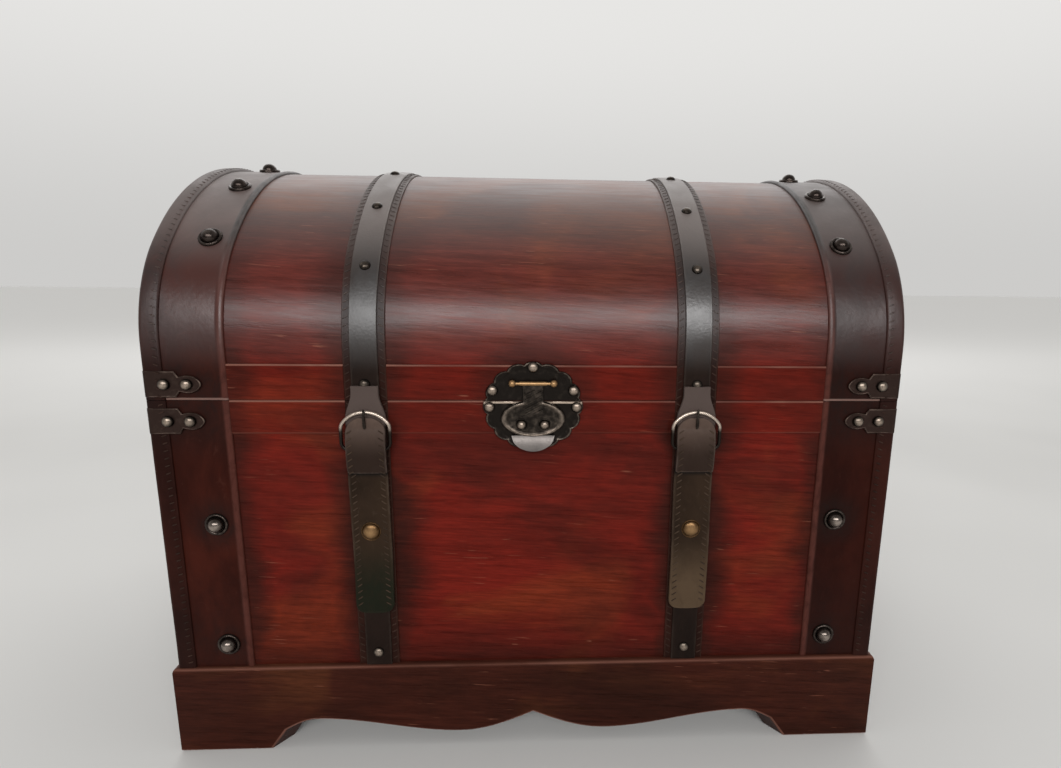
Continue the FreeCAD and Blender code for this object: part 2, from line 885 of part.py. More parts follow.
group("corner_brackets_body", [corner_bracket(side, bracket_body_foot) for side in (-1, 1)])
group("corner_brackets_lid", [corner_bracket(side, bracket_lid_foot) for side in (-1, 1)])


# Lock plate in two halves

pin_height = seam + size("pin_lift")
pin_offset = lock_face + fit + size("knuckle_diameter") / 2
pin_radius = size("pin_rod") / 2
knuckle_radius = size("knuckle_diameter") / 2
neck_half = size("hasp_neck_width") / 2


lock_reach = size("lock_valley_radius") + size("lock_lobe_rise")
pin_place = (-(half_depth + pin_offset), pin_height)


def scalloped_oval():
    """Outline of equal lobes, one of them at the top, on an oval that is wider than tall."""
    corners = []
    count = LOCK_LOBES * LOBE_STEPS
    for step in range(count):
        swell = math.sin(math.pi * (step % LOBE_STEPS) / LOBE_STEPS)
        turn = 2 * math.pi * (step - LOBE_STEPS / 2) / count
        radius = size("lock_valley_radius") + size("lock_lobe_rise") * swell
        corners.append((radius * math.cos(turn), lock_centre + radius * math.sin(turn) * LOCK_TALL_SHARE))
    return corners


def lock_half(label, cut_low, cut_high):
    """Half of the scalloped plate: the whole oval less what lies past the seam."""
    body = new_body(label)
    oval = outline(body, "XZ_Plane", scalloped_oval(), lift=half_depth + trim_face + glue)
    pad(body, oval, size("lock_thickness"))
    beyond = rectangle((-lock_reach - overrun, cut_low), (lock_reach + overrun, cut_high))
    pocket(body, outline(body, "XZ_Plane", beyond))
    return keep(body)


lock_half("lock_plate_lower", seam, lock_centre + lock_reach + overrun)
upper_plate = lock_half("lock_plate_upper", lock_centre - lock_reach - overrun, lid_foot)

for side in (-1, 1):
    inner_x = (neck_half + fit) * side
    lug = [
        (-(half_depth + lock_face), pin_height - size("lug_height") / 2),
        (-(half_depth + lock_face), pin_height + size("lug_height") / 2),
        (-(half_depth + pin_offset), pin_height + size("lug_height") / 2),
        (-(half_depth + pin_offset), pin_height - size("lug_height") / 2),
    ]
    pad(upper_plate, outline(upper_plate, "YZ_Plane", lug, lift=inner_x), size("lug_width"), reverse=side < 0)
    eye = circle_sketch(upper_plate, "YZ_Plane", pin_place, knuckle_radius, lift=inner_x)
    pad(upper_plate, eye, size("lug_width"), reverse=side < 0)
pocket(upper_plate, circle_sketch(upper_plate, "YZ_Plane", pin_place, pin_radius + size("running_gap")))


def hasp_pin():
    """Brass pin with a ball at each end, lying across the upper plate."""
    half_length = size("pin_length").value / 2
    ball = size("pin_ball").value / 2
    rod = pin_radius.value
    neck = math.acos(rod / ball)
    steps = (neck, neck / 2, 0, -math.radians(BALL_CAP_DEGREES))
    end = [(ball * math.cos(step), half_length - ball - ball * math.sin(step)) for step in steps]
    rings = [(wide, -along) for wide, along in reversed(end)] + end
    node = doc.addObject("Part::Feature", "hasp_pin")
    node.Shape = faceted(rings, STUD_SIDES)
    spot = FreeCAD.Vector(0, -(half_depth + pin_offset).value, pin_height.value)
    node.Placement = FreeCAD.Placement(spot, ACROSS)
    return keep(node)


hasp_pin()

hasp_back = lock_face + fit + glue
hasp_front = hasp_back + size("hasp_thickness")


def hasp():
    """Hinged hasp: knuckle round the pin, waisted plate and an out-curled half-moon lip."""
    body = new_body("hasp")
    top = pin_height
    widest = size("hasp_width") / 2
    foot_half = size("hasp_foot_width") / 2
    neck_z = top - size("hasp_neck_drop")
    wide_z = top - size("hasp_widest_drop")
    foot_z = top - size("hasp_foot_drop")
    shoulder = size("hasp_shoulder_radius")
    cheek = size("hasp_cheek_radius")
    face = [
        (-neck_half, top), (-neck_half, neck_z), (-widest, wide_z, shoulder, 1),
        (-foot_half, foot_z, cheek, 1), (foot_half, foot_z), (widest, wide_z, cheek, 1),
        (neck_half, neck_z, shoulder, 1), (neck_half, top),
    ]
    plate = outline(body, "XZ_Plane", face, lift=half_depth + hasp_back)
    pad(body, plate, size("hasp_thickness"))
    curl = size("hasp_lip_radius")
    inner_curl = curl - size("hasp_thickness")
    tip_y = -(half_depth + hasp_back + curl)
    lip = [
        (-(half_depth + hasp_front), foot_z), (tip_y, foot_z - inner_curl, inner_curl, -1),
        (tip_y, foot_z - curl), (-(half_depth + hasp_back), foot_z, curl, 1),
    ]
    pad(body, outline(body, "YZ_Plane", lip), size("hasp_foot_width"), symmetric=True)
    moon = (foot_half * foot_half + curl * curl) / (curl * 2)
    beyond_x = foot_half + overrun
    beyond_z = foot_z - curl - overrun
    pocket(body, outline(body, "XZ_Plane", [
        (foot_half, foot_z, moon, 1), (beyond_x, foot_z), (beyond_x, beyond_z),
        (-beyond_x, beyond_z), (-beyond_x, foot_z), (-foot_half, foot_z),
    ]))
    knuckle = circle_sketch(body, "YZ_Plane", pin_place, knuckle_radius)
    pad(body, knuckle, size("hasp_neck_width"), symmetric=True)
    pocket(body, circle_sketch(body, "YZ_Plane", pin_place, pin_radius + size("running_gap")))
    return keep(body)


hasp()
eye_head = domed_head(size("hasp_eye_diameter"), size("hasp_eye_rise"), STUD_SIDES)
eye_height = pin_height - size("hasp_eye_drop")
heads("hasp_rivets", eye_head, [
    front_seat(size("hasp_eye_spacing") / 2 * side, eye_height, hasp_front) for side in (-1, 1)
])


# Loose strap ends, buckles and snaps

flap_top = seam + size("flap_lift")
flap_bottom = plinth_top + size("flap_end_lift")
tab_end = seam - size("tab_end_drop")
snap_height = flap_bottom + (tab_end - flap_bottom) * SNAP_PLACE_SHARE
buckle_top = seam - size("buckle_top_drop")
buckle_bar = seam - size("buckle_bar_drop")
tab_top = seam - size("tab_top_drop")
snap_stud_face = strap_face + size("snap_stud_rise")
flap_back = snap_stud_face + fit
flap_front = flap_back + size("flap_thickness")
rod_radius = size("buckle_rod") / 2
buckle_offset = flap_front + fit + rod_radius
tab_middle = flap_front + glue + size("tab_thickness") / 2


def strap_flap(label, across):
    """Leather strap end that hangs from the lid, with a rounded tip."""
    body = new_body(label)
    half = size("flap_width") / 2
    tip = size("flap_end_radius")
    face = [
        (half, flap_top), (-half, flap_top), (-half, flap_bottom + tip),
        (tip - half, flap_bottom, tip, 1), (half - tip, flap_bottom), (half, flap_bottom + tip, tip, 1),
    ]
    sheet_face = outline(body, "XZ_Plane", face, lift=half_depth + flap_back)
    pad(body, sheet_face, size("flap_thickness"))
    return keep(place(body, across))


def strap_tab(label, across):
    """Leather tab on the strap end that holds the lower bar of the buckle in a fold."""
    body = new_body(label)
    half = size("tab_width") / 2
    half_thickness = size("tab_thickness") / 2
    bend_height = size("buckle_rod") + fit * 2 - glue
    reach = size("tab_bend_reach")
    bend = (reach * reach + bend_height * bend_height) / (bend_height * 4)
    bar = buckle_bar - tab_top
    end = tab_end - tab_top
    half_bend = bend_height / -2
    half_reach = reach / 2
    path = outline(body, "YZ_Plane", [
        (ZERO, ZERO), (ZERO, bar + reach), (half_bend, bar + half_reach, bend, -1),
        (half_bend, bar - half_reach, bend, 1), (ZERO, bar - reach, bend, -1), (ZERO, end),
    ], closed=False)
    section = outline(body, "XY_Plane", rectangle((-half, -half_thickness), (half, half_thickness)))
    sweep(body, section, path)
    return keep(place(body, across, -(half_depth + tab_middle), tab_top))


def buckle(label, across):
    """Buckle frame with an arched top and a straight bar at its foot."""
    body = new_body(label)
    side = size("buckle_width") / 2 - rod_radius
    top = buckle_top - rod_radius
    corner = size("buckle_corner")
    arch = Arch(side, top - size("buckle_arch_rise"), top, size("buckle_shoulder"))

    def loop(grow):
        bend = corner + grow
        edge = side + grow
        foot = buckle_bar - grow
        return arch.over(grow, 1) + [
            (-edge, foot + bend), (bend - edge, foot), (edge - bend, foot), (edge, foot + bend),
        ]

    frame = outline(body, "XZ_Plane", loop(rod_radius), lift=half_depth + flap_front + fit)
    pad(body, frame, size("buckle_rod"))
    pocket(body, outline(body, "XZ_Plane", loop(-rod_radius), lift=half_depth + buckle_offset))
    return keep(place(body, across))


prong_offset = buckle_offset + rod_radius + fit + size("prong_rod") / 2


def prong(label, across):
    """Buckle prong that lies over the top of the frame."""
    node = doc.addObject("Part::Feature", label)
    radius = size("prong_rod").value / 2
    length = size("prong_length").value
    rings = [(radius, 0), (radius, length - radius), (radius * DOME_SHARES[1][0], length)]
    node.Shape = faceted(rings, ROD_SIDES)
    foot = buckle_top + size("prong_overhang") - size("prong_length")
    spot = FreeCAD.Vector(across.value, -(half_depth + prong_offset).value, foot.value)
    node.Placement = FreeCAD.Placement(spot, FreeCAD.Rotation())
    return keep(node)


snap_cap = domed_head(size("snap_diameter"), size("snap_rise"), STUD_SIDES, size("snap_rim"))
snap_stud = domed_head(size("snap_stud_diameter"), size("snap_stud_rise"), STUD_SIDES)
for word, side in SIDES:
    middle = strap_x * side
    strap_flap(f"strap_flap_{word}", middle)
    strap_tab(f"strap_tab_{word}", middle)
    buckle(f"buckle_{word}", middle)
    prong(f"buckle_prong_{word}", middle)
    heads(f"snap_cap_{word}", snap_cap, [front_seat(middle, snap_height, flap_front)])
heads("snap_studs", snap_stud, [
    front_seat(strap_x * side, snap_height, strap_face) for side in (-1, 1)
])


# Butt hinges on the back

barrel_radius = size("hinge_barrel") / 2
hinge_axis_y = half_depth + barrel_radius + fit
hinge_half = size("hinge_width") / 2
middle_half = size("hinge_middle_knuckle") / 2
leaf_near = half_depth + glue
leaf_far = leaf_near + size("hinge_leaf_thickness")
leaf_start = barrel_radius + fit


def barrel(name, start, end, radius):
    """A cylinder along X on the hinge axis."""
    rod = doc.addObject("Part::Cylinder", name)
    rod.Placement.Rotation = ACROSS
    rod.setExpression("Radius", radius.text)
    rod.setExpression("Height", (end - start).text)
    return place(rod, start, hinge_axis_y, seam)


def hinge_leaf(across, upward, spans):
    """One leaf: a plate on the wood, and a neck and barrel for each of its knuckles."""
    plate_low = seam + leaf_start * upward
    plate_high = seam + (leaf_start + size("hinge_leaf_height")) * upward
    low_z, high_z = (plate_low, plate_high) if upward > 0 else (plate_high, plate_low)
    solids = [board(
        "leaf_plate",
        (across - hinge_half, leaf_near, low_z),
        (across + hinge_half, leaf_far, high_z),
    )]
    for start, end in spans:
        neck_low, neck_high = (seam, plate_low) if upward > 0 else (plate_low, seam)
        solids.append(board(
            "leaf_neck", (across + start, leaf_near, neck_low), (across + end, leaf_far, neck_high)
        ))
        solids.append(barrel("leaf_barrel", across + start, across + end, barrel_radius))
    joined = doc.addObject("Part::MultiFuse", "leaf_joined")
    joined.Shapes = solids
    bore = barrel("leaf_bore", across - hinge_half - overrun, across + hinge_half + overrun,
                  size("hinge_pin") / 2 + size("running_gap"))
    leaf = doc.addObject("Part::Cut", "hinge_leaf")
    leaf.Base = joined
    leaf.Tool = bore
    return leaf


outer_spans = [(-hinge_half, -middle_half - fit), (middle_half + fit, hinge_half)]
middle_span = [(-middle_half, middle_half)]
hinge_places = [(strap_outer + band_inner) / 2 * side for side in (-1, 1)]
group("hinge_leaves_body", [hinge_leaf(across, -1, outer_spans) for across in hinge_places])
group("hinge_leaves_lid", [hinge_leaf(across, 1, middle_span) for across in hinge_places])
pin_reach = hinge_half + size("hinge_pin_overhang")
group("hinge_pins", [
    barrel("hinge_rod", across - pin_reach, across + pin_reach, size("hinge_pin") / 2)
    for across in hinge_places
])


def screw_seats(upward):
    """Two screws near the ends of each leaf and one in the middle."""
    rise = (leaf_start + size("hinge_leaf_height") / 2) * upward
    reach = hinge_half - size("screw_edge")
    return [
        (FreeCAD.Vector((across + offset).value, leaf_far.value, (seam + rise).value), BACK)
        for across in hinge_places
        for offset in (-reach, ZERO, reach)
    ]


heads("hinge_screws_body", screw, screw_seats(-1))
heads("hinge_screws_lid", screw, screw_seats(1))


# Checks and files

doc.recompute()
failed = [item.Label for item in doc.Objects if "Invalid" in item.State or "Error" in item.State]
if failed:
    raise SystemExit(f"failed to recompute: {failed}")
for cut in cuts:
    if cut.Shape.Volume >= cut.BaseFeature.Shape.Volume:
        raise SystemExit(f"{cut.Label} cuts nothing")
for label, item in nodes.items():
    if item.Shape.isNull() or not item.Shape.isValid():
        raise SystemExit(f"{label} has no valid shape")
os.makedirs("parts", exist_ok=True)
for label, item in nodes.items():
    item.Shape.exportStep(f"parts/{label}.step")
    box = item.Shape.BoundBox
    print(
        f"{label}: {len(item.Shape.Solids)} solids, {item.Shape.Volume:.0f} mm3,"
        f" x {box.XMin:.1f}..{box.XMax:.1f}, y {box.YMin:.1f}..{box.YMax:.1f},"
        f" z {box.ZMin:.1f}..{box.ZMax:.1f}"
    )
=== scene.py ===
import math

import bpy
import bmesh
from mathutils import Matrix, Vector, noise


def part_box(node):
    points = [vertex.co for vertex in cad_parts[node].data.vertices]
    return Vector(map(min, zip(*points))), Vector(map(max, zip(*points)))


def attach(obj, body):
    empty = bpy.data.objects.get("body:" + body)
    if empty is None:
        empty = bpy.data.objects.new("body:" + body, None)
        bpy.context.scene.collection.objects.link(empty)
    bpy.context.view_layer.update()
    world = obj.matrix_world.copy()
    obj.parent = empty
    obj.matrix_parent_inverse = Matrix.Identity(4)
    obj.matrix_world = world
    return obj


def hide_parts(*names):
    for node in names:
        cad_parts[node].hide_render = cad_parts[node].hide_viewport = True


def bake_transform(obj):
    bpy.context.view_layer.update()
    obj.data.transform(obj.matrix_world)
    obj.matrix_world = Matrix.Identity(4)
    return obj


# Looks of a domed wooden storage chest with leather straps, buckles and a hasp.
# Metres. +X to the viewer's right, +Y to the hinged back, +Z up.

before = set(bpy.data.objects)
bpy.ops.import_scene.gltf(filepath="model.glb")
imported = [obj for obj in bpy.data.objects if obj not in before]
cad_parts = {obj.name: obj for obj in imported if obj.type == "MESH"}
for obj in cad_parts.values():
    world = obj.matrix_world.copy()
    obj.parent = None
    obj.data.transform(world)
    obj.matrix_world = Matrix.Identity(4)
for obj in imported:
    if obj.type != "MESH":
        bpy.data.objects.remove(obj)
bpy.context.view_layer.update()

# Main sizes, read from the frame

WALL_LOW, WALL_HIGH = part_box("front_wall")
HALF_WIDTH = WALL_HIGH.x
FRONT = WALL_LOW.y
SEAM = WALL_HIGH.z
PLINTH_TOP = WALL_LOW.z
DOME_LOW, DOME_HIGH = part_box("lid_dome_panel")
HALF_DEPTH = DOME_HIGH.y
LID_FOOT = DOME_LOW.z
CREST = DOME_HIGH.z
BAND_LOW, BAND_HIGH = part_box("body_band_front_right")
BAND_INNER = BAND_LOW.x
BAND_FACE = FRONT - BAND_LOW.y
GLUE = FRONT - BAND_HIGH.y
BASE_LOW, BASE_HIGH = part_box("body_strap_base_right")
STRAP_X = (BASE_LOW.x + BASE_HIGH.x) / 2
BASE_HALF = BASE_HIGH.x - STRAP_X
BASE_FACE = FRONT - BASE_LOW.y
NARROW_LOW, NARROW_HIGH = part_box("body_strap_right")
STRAP_HALF = NARROW_HIGH.x - STRAP_X
STRAP_FACE = FRONT - NARROW_LOW.y
BINDING_LOW, BINDING_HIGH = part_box("body_bindings")
BINDING_OUTER = BINDING_HIGH.x
BINDING_FACE = FRONT - BINDING_LOW.y
FLAP_LOW, FLAP_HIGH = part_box("strap_flap_right")
TAB_LOW, TAB_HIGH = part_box("strap_tab_right")
BUCKLE_LOW, BUCKLE_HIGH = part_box("buckle_right")
LOCK_LOW, LOCK_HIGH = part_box("lock_plate_lower")
HASP_LOW, HASP_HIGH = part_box("hasp")
PIN_LOW, PIN_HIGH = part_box("hasp_pin")
PLINTH_LOW, PLINTH_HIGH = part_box("plinth_front")

# Sizes that the frame's boxes don't show

SHOULDER_RADIUS = 0.117
LID_UPRIGHT = 0.039
PANEL_THICKNESS = 0.004
LACQUER_DEPTH = 0.007
BEAD_WIDTH = 0.0048
BEAD_RISE = 0.0011
LOCK_TALL = 0.9
LOCK_CENTRE = LOCK_LOW.z + LOCK_HIGH.x * LOCK_TALL
EDGE = 0.0005
UNEVEN = 0.00014
SIDES = (("left", -1), ("right", 1))


class Arch:
    """Three-centre arch: legs, shoulders and a crown, walked from its foot at -half to the one at half."""

    def __init__(self, half, foot, spring, crest, shoulder):
        self.half, self.foot, self.spring, self.shoulder = half, foot, spring, shoulder
        self.reach = half - shoulder
        rise = crest - spring
        self.crown = (self.reach ** 2 + rise ** 2 - shoulder ** 2) / (2 * (rise - shoulder))
        self.crown_up = crest - self.crown
        self.turn = math.atan2(spring - self.crown_up, self.reach)
        self.leg_end = spring - foot
        self.shoulder_end = self.leg_end + shoulder * self.turn
        self.length = 2 * self.shoulder_end + self.crown * (math.pi - 2 * self.turn)

    def at(self, along):
        """Point (across, up) and outward normal at a length along the arch."""
        if along > self.length / 2:
            (across, up), (aside, rise) = self.at(self.length - along)
            return (-across, up), (-aside, rise)
        if along <= self.leg_end:
            return (-self.half, self.foot + along), (-1.0, 0.0)
        if along <= self.shoulder_end:
            centre, radius = (-self.reach, self.spring), self.shoulder
            angle = (along - self.leg_end) / radius
        else:
            centre, radius = (0.0, self.crown_up), self.crown
            angle = self.turn + (along - self.shoulder_end) / radius
        normal = (-math.cos(angle), math.sin(angle))
        return (centre[0] + radius * normal[0], centre[1] + radius * normal[1]), normal


LID = Arch(HALF_DEPTH, LID_FOOT, SEAM + LID_UPRIGHT, CREST, SHOULDER_RADIUS)

# Forms: points, faces and wear gathered for one piece


def spread(low, high, count):
    return [low + (high - low) * step / (count - 1) for step in range(count)]


def smooth(value, low, high):
    """Eased step from 0 at low to 1 at high; low may be the larger one."""
    share = min(max((value - low) / (high - low), 0.0), 1.0)
    return share * share * (3 - 2 * share)


def wander(place, waves, amount):
    """A smooth unevenness that is the same on every run."""
    return amount * noise.noise(place * waves)


def ring(centre, first, second, radius, sides, worn):
    """A circle of (point, wear) in the plane of two directions."""
    turns = [2 * math.pi * step / sides for step in range(sides)]
    return [(centre + (first * math.cos(turn) + second * math.sin(turn)) * radius, worn) for turn in turns]


def link(name, data):
    """A new object in the scene."""
    item = bpy.data.objects.new(name, data)
    bpy.context.scene.collection.objects.link(item)
    return item


class Form:
    """Points, faces and wear of one piece; wear is 0 where sound, 1 where rubbed, -1 on an inner side."""

    def __init__(self, rows=(), loop=False):
        self.points, self.faces, self.wear = [], [], []
        if rows:
            self.grid(rows, loop)

    def grid(self, rows, loop=False):
        """Joins closed rows of (point, wear); loop joins the last row to the first, or else both ends are
        capped."""
        first, count = len(self.points), len(rows[0])
        for row in rows:
            self.points += [point for point, worn in row]
            self.wear += [worn for point, worn in row]
        for step in range(len(rows) if loop else len(rows) - 1):
            here = first + step * count
            there = first + (step + 1) % len(rows) * count
            for spot in range(count):
                after = (spot + 1) % count
                self.faces.append((here + spot, here + after, there + after, there + spot))
        if not loop:
            for end in (first, len(self.points) - count):
                self.faces.append(tuple(range(end, end + count)))

    def piece(self, name, paint, body, slot, *nodes, sharp=40):
        """Makes the piece; body is the one it rides on, or a (body, body, start, end) tuple, which is not
        used: the piece then stays where it is, on no body.
        """
        mesh = bpy.data.meshes.new(name)
        mesh.from_pydata([tuple(point) for point in self.points], [], self.faces)
        shape = bmesh.new()
        shape.from_mesh(mesh)
        bmesh.ops.recalc_face_normals(shape, faces=shape.faces)
        shape.to_mesh(mesh)
        shape.free()
        mesh.attributes.new("wear", "FLOAT", "POINT").data.foreach_set("value", self.wear)
        mesh.shade_smooth()
        mesh.set_sharp_from_angle(angle=math.radians(sharp))
        mesh.materials.append(paint)
        item = link(name, mesh)
        if isinstance(body, str):
            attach(item, body)
        else:
            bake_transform(item)
        if nodes:
            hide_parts(*nodes)


SAME_SPOT = 1e-6


def islands(node):
    """The separate solids of a node, each as a list of points."""
    shape = bmesh.new()
    shape.from_mesh(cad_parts[node].data)
    bmesh.ops.remove_doubles(shape, verts=shape.verts, dist=SAME_SPOT)
    groups = []
    seen = set()
    for start in shape.verts:
        group = [] if start in seen else [start]
        seen.update(group)
        for vertex in group:
            others = [edge.other_vert(vertex) for edge in vertex.link_edges]
            fresh = [other for other in others if other not in seen]
            seen.update(fresh)
            group += fresh
        if group:
            groups.append([vertex.co.copy() for vertex in group])
    shape.free()
    return groups


def extent(points):
    low = Vector(min(point[axis] for point in points) for axis in range(3))
    high = Vector(max(point[axis] for point in points) for axis in range(3))
    return low, high


# Paths round the chest: lists of (point, normal, along)

PATH_STEP = 0.005
ACROSS = Vector((1, 0, 0))
FACING = Vector((0, -1, 0))


def lid_path():
    path = []
    for along in spread(0.0, LID.length, round(LID.length / PATH_STEP)):
        point, normal = LID.at(along)
        path.append((Vector((0, *point)), Vector((0, *normal)), along))
    return path


def upright_path(top, bottom, side=-1):
    """Straight down the front (side -1) or the back (side 1)."""
    normal = Vector((0, side, 0))
    return [
        (Vector((0, side * HALF_DEPTH, height)), normal, top - height)
        for height in spread(top, bottom, max(2, round((top - bottom) / PATH_STEP)))
    ]


LID_OVER = lid_path()
BODY_FRONT = upright_path(SEAM, PLINTH_TOP)
BODY_BACK = upright_path(SEAM, PLINTH_TOP, 1)
CUT_WEAR = 0.9
SIDE_WEAR = 0.2
RUB_WIDTH = 0.0012
FACE_WAVES = 55


def on_front(across, up, out):
    return Vector((across, FRONT - out, up))


def strip_section(low, high, back, face, rise=None, count=16):
    """Cross-section (x, out, wear) of a leather strip with eased edges; rise(x) lifts its face."""
    section = [(low, back, SIDE_WEAR), (low, face - EDGE, CUT_WEAR)]
    for across in spread(low + EDGE, high - EDGE, count):
        from_edge = min(across - low, high - across)
        lift = rise(across) if rise else 0.0
        section.append((across, face + lift, CUT_WEAR * math.exp(-from_edge / RUB_WIDTH)))
    return section + [(high, face - EDGE, CUT_WEAR), (high, back, SIDE_WEAR)]


def sweep(path, section, swell=None):
    """Rows of a strip along a path, a little uneven on its face; swell(x, along) pads it."""
    rows = []
    back = min(out for across, out, worn in section)
    for point, normal, along in path:
        row = []
        for across, out, worn in section:
            spot = point + ACROSS * across
            lift = wander(spot, FACE_WAVES, UNEVEN) if out > back else 0.0
            lift += swell(across, along) if swell else 0.0
            row.append((spot + normal * (out + lift), worn))
        rows.append(row)
    return rows


STITCH_RADIUS = 0.00055
STITCH_RINGS = ((-0.5, 0.25), (-0.36, 0.9), (0.0, 1.0), (0.36, 0.9), (0.5, 0.25))
STITCH_SIDES = 6


def stitch(form, middle, aim, normal, length, radius=STITCH_RADIUS, worn=0.5):
    """One short rounded stroke lying on a surface."""
    sidelong = normal.cross(aim)
    form.grid([
        ring(middle + aim * length * step, sidelong, normal, radius * swell, STITCH_SIDES, worn)
        for step, swell in STITCH_RINGS
    ])


def stitches(form, path, across, out, length, pitch, slant, **looks):
    """A row of strokes beside a path, each turned by slant from the X axis."""
    start = path[0][2]
    walked = pitch / 2
    for (point, normal, along), (after, _, later) in zip(path, path[1:]):
        forward = (after - point).normalized()
        aim = (ACROSS * math.cos(slant) + forward * math.sin(slant)).normalized()
        while walked < later - start:
            share = (walked - along + start) / (later - along)
            middle = point.lerp(after, share) + normal * out + ACROSS * across
            stitch(form, middle, aim, normal, length, **looks)
            walked += pitch


def seam(name, paint, body, slot, path, middle, reach, out, length, pitch, slant):
    """A piece of two rows of stitches, one on each side of the middle."""
    form = Form()
    for edge in (-1, 1):
        stitches(form, path, middle + edge * reach, out, length, pitch, slant * edge)
    form.piece(name, paint, body, slot)


def lathe(seat, normal, profile, sides=24):
    """Rows of a turned form: profile of (radius, height, wear) from its foot to its top."""
    helper = Vector((0, 0, 1)) if abs(normal.z) < 0.9 else Vector((0, 1, 0))
    first = normal.cross(helper).normalized()
    second = normal.cross(first)
    return [
        ring(seat + normal * height, first, second, radius, sides, worn) for radius, height, worn in profile
    ]


RELIEF_SHARES = (
    1.0, 0.985, 0.97, 0.95, 0.93, 0.905, 0.88, 0.84, 0.79, 0.73, 0.66, 0.58, 0.49, 0.4, 0.3, 0.2, 0.1, 0.03,
)
BACK_WEAR = 0.3


def relief(outline, centre, back, lay, height):
    """Rows of a plate with a modelled face. outline and centre are (u, v); lay(u, v, out) gives the point
    and height(u, v, inside) the face and its wear, with inside the distance from the rim."""
    rows = [[(lay(u, v, back), BACK_WEAR) for u, v in outline]]
    for share in RELIEF_SHARES:
        row = []
        for u, v in outline:
            inside = (1 - share) * math.hypot(u - centre[0], v - centre[1])
            here = (centre[0] + (u - centre[0]) * share, centre[1] + (v - centre[1]) * share)
            out, worn = height(*here, inside)
            row.append((lay(*here, out), worn))
        rows.append(row)
    return rows


# Materials

SHOULDER_LOW, SHOULDER_HIGH = SEAM + 0.02, SEAM + 0.055
CROWN_LOW, CROWN_HIGH = SEAM + 0.095, SEAM + 0.15


class Value:
    """Something that a shader works out, for use in sums."""

    def __init__(self, paint, socket):
        self.paint, self.socket = paint, socket

    def __add__(self, other):
        return self.paint.math("ADD", self, other)

    def __sub__(self, other):
        return self.paint.math("SUBTRACT", self, other)

    def __rsub__(self, other):
        return self.paint.math("SUBTRACT", other, self)

    def __mul__(self, other):
        return self.paint.math("MULTIPLY", self, other)

    def __abs__(self):
        return self.paint.math("ABSOLUTE", self)

    def away(self, other):
        """Distance whose two sides are this value and another one."""
        return self.paint.math("SQRT", self * self + other * other)

    def step(self, low, high, to_low=0.0, to_high=1.0):
        """Eased step; low has to be the smaller one."""
        inputs = {"Value": self, "From Min": low, "From Max": high, "To Min": to_low, "To Max": to_high}
        return self.paint.make("MapRange", "Result", inputs, interpolation_type="SMOOTHSTEP")

    def fade(self, low, high, share=1.0):
        """Eased step from a share down to nothing."""
        return self.step(low, high, share, 0.0)


def most(first, *others):
    for other in others:
        first = first.paint.math("MAXIMUM", first, other)
    return first


def dim(tone, share):
    return tuple(part * share for part in tone)


